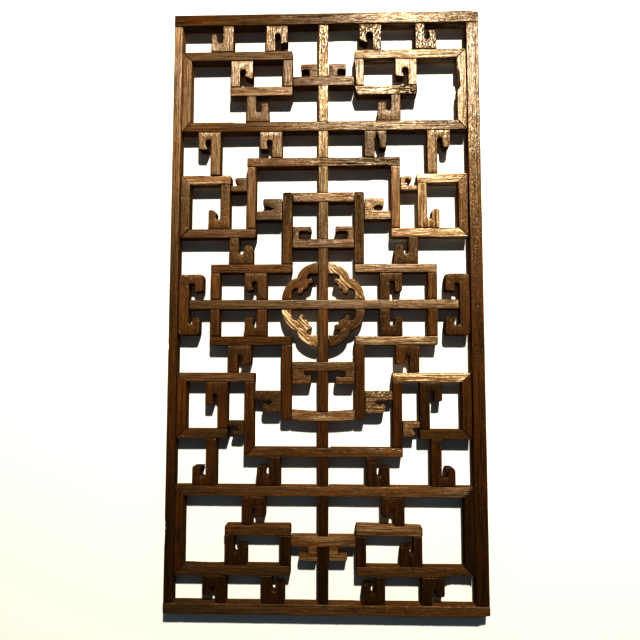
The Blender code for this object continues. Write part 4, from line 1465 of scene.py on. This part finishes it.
class LATTICE_OT_level_bars(bpy.types.Operator):
    """Make the level bars that run across the centre post"""

    bl_idname = "lattice.level_bars"
    bl_label = "Cross rails, step rails and end rails"

    def execute(self, context):
        inner, outer = edges(CORNER_EDGE)
        slack = FIT / math.sqrt(2)
        long, short = outer - slack, inner - slack
        bow = context.scene.lattice_sizes.end_bow / MM
        for name, quarter in HALVES.items():
            bar = level_bar(-short, short, CROSS_RAIL, (short - long, long - short))
            add_piece(f"{name}_cross_rail", bar, quarter=quarter, laps=lap_at((long + short) / 2))
            wide = STEP_POST[0]
            mitre = STEP_POST[1] if name == "lower" else 0.0
            add_piece(f"step_rail_{name}", level_bar(-wide, wide, STEP_RAIL, (mitre, 0.0)), quarter=quarter,
                      laps=lap_at(wide - mitre / 2), rounds=STEP_RAIL_ENDS[name])
            wide = edges(INNER_POST)[0] - FIT
            places = np.linspace(-wide, wide, BOW_POINTS)
            rise = (bow if name == "lower" else 0.0) * (1 - (places / wide) ** 2)
            low, high = edges(END_RAIL)
            bar = np.stack([places, high + rise, places, low + rise], axis=-1)
            add_piece(f"end_rail_{name}", bar, quarter=quarter, laps=lap_at(wide))
        return {"FINISHED"}


class LATTICE_OT_bridges(bpy.types.Operator):
    """Make the bridges over the centre post, each with two carved hooks"""

    bl_idname = "lattice.bridges"
    bl_label = "Bridges"

    def execute(self, context):
        kinds = {
            "inner_bridge": (edges(INNER_POST)[0] - FIT, INNER_BRIDGE, INNER_CAP),
            "outer_bridge": (edges(SMALL_POST)[0] - FIT, OUTER_BRIDGE, OUTER_CAP),
        }
        for kind, (wide, line, cap) in kinds.items():
            for half, quarter in HALVES.items():
                name = f"{kind}_{half}"
                hooks = []
                for side in (1, -1):
                    stations = cap_stations(line, cap._replace(**CAPS_CUT.get((name, side), {})))
                    hooks.append((np.array(stations) * (side, 1, side, 1)).tolist())
                add_piece(name, level_bar(-wide, wide, line), quarter=quarter, laps=lap_at(wide), more=hooks)
        return {"FINISHED"}


class LATTICE_OT_corners(bpy.types.Operator):
    """Make the corner posts and the sub-rails with their hooked fillers"""

    bl_idname = "lattice.corners"
    bl_label = "Corner posts and sub-rails"

    def execute(self, context):
        inner, outer = edges(CORNER_EDGE)
        slack = FIT / math.sqrt(2)
        cross_low, cross_high = edges(CROSS_RAIL)
        low, high = edges(SUB_RAIL)
        for place, quarter in QUARTERS.items():
            post = [(outer, cross_low + slack, inner, cross_high + slack)]
            post += [(outer, high - slack, inner, low - slack)]
            add_piece(f"corner_post_{place}", post, quarter=quarter, along=UPRIGHT)
            node = f"sub_rail_{place}"
            rail = [(SUB_RAIL_START, high, SUB_RAIL_START, low), (outer - slack, high, inner - slack, low)]
            add_piece(node, rail, quarter=quarter, rounds=FREE_END)
            gap = frame_edge(quarter[1]) - high
            add_hook("standing_hook", STANDING_HOOK, place, high, 1, gap, node)
            add_hook("hanging_hook", HANGING_HOOK, place, high + gap, -1, gap, node)
        return {"FINISHED"}


class LATTICE_OT_small_frames(bpy.types.Operator):
    """Make the small frames under the sub-rails, with the hooks below them"""

    bl_idname = "lattice.small_frames"
    bl_label = "Small frames"

    def execute(self, context):
        low, high = edges(SMALL_BAR)
        inner = edges(SMALL_POST)[0]
        sub_low = edges(SUB_RAIL)[0]
        cross_high = CROSS_RAIL[0]
        for place, quarter in QUARTERS.items():
            node = f"small_frame_{place}"
            add_piece(f"small_bar_{place}", level_bar(inner, SMALL_BAR_END, SMALL_BAR), node, quarter,
                      rounds=SMALL_BAR_ENDS)
            post = upright_bar(high + FIT, sub_low - FIT, SMALL_POST)
            add_piece(f"small_post_{place}", post, node, quarter, UPRIGHT)
            add_hook("hooked_post", HOOKED_POST, place, sub_low, -1, sub_low - high, node)
            add_hook("low_hook", LOW_HOOK, place, cross_high, 1, low - cross_high, node)
        return {"FINISHED"}


class LATTICE_OT_steps(bpy.types.Operator):
    """Make the step posts and the hooks between cross rail and step rail"""

    bl_idname = "lattice.steps"
    bl_label = "Step posts and step hooks"

    def execute(self, context):
        under = edges(CROSS_RAIL)[0]
        for place, quarter in QUARTERS.items():
            step_low, step_high = edges(STEP_RAIL)
            mitre = step_high - step_low if place == "lower_left" else 0.0
            post = upright_bar(SIDE_INNER_BAR[0] + FIT, step_low + mitre - FIT, STEP_POST, (0.0, -mitre))
            add_piece(f"step_post_{place}", post, quarter=quarter, along=UPRIGHT)
            add_hook("step_hook", STEP_HOOK, place, under, -1, under - STEP_RAIL[0], slot="hook_wood")
        return {"FINISHED"}


class LATTICE_OT_side_frames(bpy.types.Operator):
    """Make the side frames, with the stubs and hooks on them"""

    bl_idname = "lattice.side_frames"
    bl_label = "Side frames"

    def execute(self, context):
        bar_low, bar_high = edges(SIDE_OUTER_BAR)
        foot_low, foot_high = edges(SIDE_INNER_BAR)
        inner, outer = edges(SIDE_EDGE)
        under = edges(CROSS_RAIL)[0]
        slack = FIT / 2
        start = edges(STEP_POST)[0] - FIT
        for place, quarter in QUARTERS.items():
            node = f"side_frame_{place}"
            post = [(outer, foot_low + slack, inner, foot_high + slack)]
            post += [(outer, bar_high - slack, inner, bar_low - slack)]
            add_piece(f"side_edge_{place}", post, node, quarter, UPRIGHT)
            bar = [(SIDE_BAR_START, bar_high, SIDE_BAR_START, bar_low)]
            bar += [(outer - slack, bar_high, inner - slack, bar_low)]
            add_piece(f"side_outer_bar_{place}", bar, node, quarter, rounds=FREE_END)
            bar = [(start, foot_high, start, foot_low), (inner - slack, foot_high, outer - slack, foot_low)]
            add_piece(f"side_inner_bar_{place}", bar, node, quarter, rounds=INNER_BAR_ENDS)
            add_hook("side_post", SIDE_POST_HOOK, place, foot_high, 1, bar_low - foot_high, node)
            add_hook("side_hook", SIDE_HOOK, place, under, -1, under - bar_high, node)
            stub = hand_cut(SIDE_STUB, f"side_stub_{place}")
            stub = lug_stations(stub, SIDE_POST_HOOK.back - SIDE_STUB.start - FIT / 2)
            add_piece(f"side_stub_{place}", stub, node, quarter)
        return {"FINISHED"}


class LATTICE_OT_inner_posts(bpy.types.Operator):
    """Make the inner posts and the squat hooks beside them"""

    bl_idname = "lattice.inner_posts"
    bl_label = "Inner posts and bridge hooks"

    def execute(self, context):
        length = edges(STEP_POST)[0] - FIT - BRIDGE_HOOK.start
        for place, quarter in QUARTERS.items():
            post = upright_bar(ARM_BAR[0] + FIT, END_RAIL[0], INNER_POST)
            add_piece(f"inner_post_{place}", post, quarter=quarter, along=UPRIGHT,
                      rounds=INNER_POST_ENDS)
            hook = hand_cut(BRIDGE_HOOK, f"bridge_hook_{place}")
            add_piece(f"bridge_hook_{place}", lug_stations(hook, length), quarter=quarter, slot="hook_wood")
        return {"FINISHED"}


class LATTICE_OT_cross_arms(bpy.types.Operator):
    """Make the cross arms with their posts and hooked fillers"""

    bl_idname = "lattice.cross_arms"
    bl_label = "Cross arms"

    def execute(self, context):
        low, high = edges(ARM_BAR)
        rail = CENTRE_RAIL / 2
        start = edges(INNER_POST)[0] + FIT
        side_low = edges(SIDE_INNER_BAR)[0]
        for place, quarter in QUARTERS.items():
            node = f"cross_arm_{place}"
            add_piece(f"arm_bar_{place}", level_bar(start, ARM_BAR_END, ARM_BAR), node, quarter,
                      rounds=ARM_BAR_ENDS)
            post = upright_bar(rail + FIT, low - FIT, ARM_POST)
            add_piece(f"arm_post_{place}", post, node, quarter, UPRIGHT)
            add_hook("arm_low_hook", ARM_LOW_HOOK, place, low, -1, low - rail, node)
            add_hook("arm_high_hook", ARM_HIGH_HOOK, place, high, 1, side_low - high, node)
        return {"FINISHED"}


class LATTICE_OT_brackets(bpy.types.Operator):
    """Make the brackets against the stiles, one stem with a hook above and a hook below"""

    bl_idname = "lattice.brackets"
    bl_label = "Stile brackets"

    def execute(self, context):
        corner = context.scene.lattice_sizes.bracket_round / MM
        for name, side in (("left", -1), ("right", 1)):
            halves = []
            for part, up in (("upper", 1), ("lower", -1)):
                hook = hand_cut(BRACKET, f"bracket_{part}_{name}")
                hook = hook_stations(hook, 0.0, BRACKET_HALF, corner)
                halves.append(set_stations(hook, BRACKET.back, BRACKET.towards, up * BRACKET_HALF, -up))
            stations = halves[1][::-1] + halves[0][1:]
            add_piece(f"stile_bracket_{name}", stations, quarter=(side, 1), along=UPRIGHT, slot="hook_wood",
                      ends=(0.0, 0.0))
        return {"FINISHED"}


class LATTICE_OT_ring(bpy.types.Operator):
    """Make the four ring quarters, each with its cloud head"""

    bl_idname = "lattice.ring"
    bl_label = "Ring"

    def execute(self, context):
        for place, quarter in QUARTERS.items():
            name = f"ring_quarter_{place}"
            add_piece(name, ring_band_stations(), quarter=quarter, along=SLANTED, slot="hook_wood",
                      more=ring_heads(name))
        return {"FINISHED"}


# Wall and floor, in metres: how far behind the panel the wall lies at the panel's foot and at its top,
# how far the wall reaches to each side and up, how low it starts, where the floor lies too, and how far
# the floor reaches each way
WALL_GAP = (0.003, 0.0065)
WALL_HALF = 3.0
WALL_TOP = 2.2
FLOOR_Z = -1.75
FLOOR_DEPTH = 5.0

# Camera: where it is, the way it looks, and its lens, worked out from the panel's own edges in the
# photograph. The shift is what the photograph's framing needs, in shares of the picture's width.
CAMERA_PLACE = (0.0248, -1.1810, -0.6638)
CAMERA_WAY = (-0.03368, 0.99575, 0.08571)
CAMERA_ROLL = math.radians(0.08)
LENS_PIXELS = 653.2
PICTURE = 640.0
SENSOR = 36.0
SHIFT = (0.0044, 0.0047)

# The photograph has deep shadows: below 1 this makes the middle tones darker
CONTRAST = 0.7

# Key light: high and far in front, a little to the right. Rear light: behind the wall, so that the
# panel's back shows. The even light is that of a pale sky.
KEY_PLACE = (0.46, -3.10, 1.56)
KEY_COLOUR = "#fff8ea"
REAR_PLACE = (-0.9, 3.2, 0.6)
REAR_COLOUR = "#ffffff"
REAR_SHARE = 0.5
REAR_SIZE = 1.6
FILL_COLOUR = "#d9edfa"
CLIP_START = 0.01


def flat_sheet(name, corners, paint):
    """A flat painted sheet between four corners."""
    mesh = bpy.data.meshes.new(name)
    mesh.from_pydata(corners, [], [(0, 1, 2, 3)])
    mesh.materials.append(paint)
    obj = bpy.data.objects.new(name, mesh)
    bpy.context.scene.collection.objects.link(obj)
    return obj


def plain_paint(name, colour, see_through_back):
    """Matt wall paint, rolled on: to the eye it is pale and has no gloss.

    The wall's paint is clear from behind, so the panel's back can be seen.
    """
    material = bpy.data.materials.new(name)
    material.use_nodes = True
    tree = material.node_tree
    tree.nodes.clear()
    paint = add_node(tree, "ShaderNodeBsdfDiffuse", {"Color": (*colour, 1.0)})
    surface = paint.outputs["BSDF"]
    if see_through_back:
        side = add_node(tree, "ShaderNodeNewGeometry").outputs["Backfacing"]
        clear = add_node(tree, "ShaderNodeBsdfTransparent")
        mix = add_node(tree, "ShaderNodeMixShader", {0: side, 1: surface, 2: clear.outputs["BSDF"]})
        surface = mix.outputs["Shader"]
    add_node(tree, "ShaderNodeOutputMaterial", {"Surface": surface})
    return material


def look_along(obj, way, roll=0.0):
    """Turn a camera or light so that it looks along a direction, rolled to the left by an angle."""
    forward = np.array(way) / np.linalg.norm(way)
    yaw = math.atan2(-forward[0], forward[1])
    pitch = math.asin(forward[2])
    turn = Euler((math.pi / 2 + pitch, 0.0, yaw)).to_matrix()
    obj.rotation_euler = (turn @ Matrix.Rotation(roll, 3, "Z")).to_euler()


def add_area_light(name, place, target, power, size, hex_colour):
    """A round area light that faces a target."""
    light = bpy.data.lights.new(name, "AREA")
    light.shape = "DISK"
    light.size = size
    light.energy = power
    light.color = srgb(hex_colour)
    obj = bpy.data.objects.new(name, light)
    bpy.context.scene.collection.objects.link(obj)
    obj.location = place
    look_along(obj, np.array(target) - np.array(place))
    return obj


def wall_at(height):
    """How far behind the panel the wall lies at a height: the panel's top hangs out a little."""
    low, high = WALL_GAP
    foot = (PANEL_CENTRE_Z - PANEL_HEIGHT / 2) * MM
    return low + (high - low) * (height - foot) / (PANEL_HEIGHT * MM)


class LATTICE_OT_stage(bpy.types.Operator):
    """Make the wall, the floor, the lights and the camera"""

    bl_idname = "lattice.stage"
    bl_label = "Stage"

    def execute(self, context):
        scene = context.scene
        settings = scene.lattice_stage
        corners = []
        for z, sides in ((FLOOR_Z, (-WALL_HALF, WALL_HALF)), (WALL_TOP, (WALL_HALF, -WALL_HALF))):
            corners += [(x, wall_at(z), z) for x in sides]
        wall = flat_sheet("wall", corners, plain_paint("wall_emulsion_rolled", settings.wall, True))
        wall.visible_shadow = False
        wall.visible_glossy = False
        ways = ((-1, -1), (1, -1), (1, 1), (-1, 1))
        corners = [(x * FLOOR_DEPTH, y * FLOOR_DEPTH, FLOOR_Z) for x, y in ways]
        floor = flat_sheet("floor", corners, plain_paint("floor_emulsion_rolled", settings.wall, False))
        floor.visible_glossy = False
        floor.visible_diffuse = False
        middle = (0.0, 0.0, PANEL_CENTRE_Z * MM)
        power = settings.key_power
        add_area_light("key", KEY_PLACE, middle, power, settings.key_size, KEY_COLOUR)
        rear = add_area_light("rear", REAR_PLACE, middle, power * REAR_SHARE, REAR_SIZE, REAR_COLOUR)
        rear.visible_glossy = False
        world = bpy.data.worlds.new("even_light")
        world.use_nodes = True
        background = world.node_tree.nodes["Background"]
        background.inputs["Color"].default_value = (*srgb(FILL_COLOUR), 1.0)
        background.inputs["Strength"].default_value = settings.fill
        world.cycles.sampling_method = "NONE"
        world.cycles_visibility.glossy = False
        scene.world = world
        camera_data = bpy.data.cameras.new("camera")
        camera_data.sensor_width = SENSOR
        camera_data.lens = LENS_PIXELS / PICTURE * SENSOR
        camera_data.shift_x, camera_data.shift_y = SHIFT
        camera_data.clip_start = CLIP_START
        camera = bpy.data.objects.new("camera", camera_data)
        scene.collection.objects.link(camera)
        camera.location = CAMERA_PLACE
        look_along(camera, CAMERA_WAY, CAMERA_ROLL)
        scene.camera = camera
        scene.view_settings.view_transform = "Standard"
        scene.view_settings.gamma = CONTRAST
        return {"FINISHED"}


PIECE_OPERATORS = (
    LATTICE_OT_frame,
    LATTICE_OT_centre,
    LATTICE_OT_level_bars,
    LATTICE_OT_bridges,
    LATTICE_OT_corners,
    LATTICE_OT_small_frames,
    LATTICE_OT_steps,
    LATTICE_OT_side_frames,
    LATTICE_OT_inner_posts,
    LATTICE_OT_cross_arms,
    LATTICE_OT_brackets,
    LATTICE_OT_ring,
)


class LATTICE_PT_panel(bpy.types.Panel):
    """Lists the sizes, colours and operators of the lattice"""

    bl_idname = "LATTICE_PT_panel"
    bl_label = "Window lattice"
    bl_space_type = "VIEW_3D"
    bl_region_type = "UI"
    bl_category = "Lattice"

    def draw(self, context):
        layout = self.layout
        for place in GROUPS:
            group = getattr(context.scene, place)
            column = layout.column()
            for key in group.bl_rna.properties.keys():
                if key not in {"rna_type", "name"}:
                    column.prop(group, key)
        for operator in (LATTICE_OT_stage, *PIECE_OPERATORS):
            layout.operator(operator.bl_idname)


GROUPS = {"lattice_sizes": LatticeSizes, "lattice_finish": LatticeFinish, "lattice_stage": StageSettings}
CLASSES = (*GROUPS.values(), LATTICE_OT_stage, *PIECE_OPERATORS, LATTICE_PT_panel)


def register():
    """Register the classes and put the settings on the scene."""
    for item in CLASSES:
        bpy.utils.register_class(item)
    for key, group in GROUPS.items():
        setattr(bpy.types.Scene, key, bpy.props.PointerProperty(type=group))


def unregister():
    """Take the settings off the scene and unregister the classes."""
    for key in GROUPS:
        delattr(bpy.types.Scene, key)
    for item in reversed(CLASSES):
        bpy.utils.unregister_class(item)


def main():
    """Make the stage and every piece."""
    register()
    bpy.ops.lattice.stage()
    for operator in PIECE_OPERATORS:
        group, name = operator.bl_idname.split(".")
        getattr(getattr(bpy.ops, group), name)()


if __name__ == "__main__":
    main()
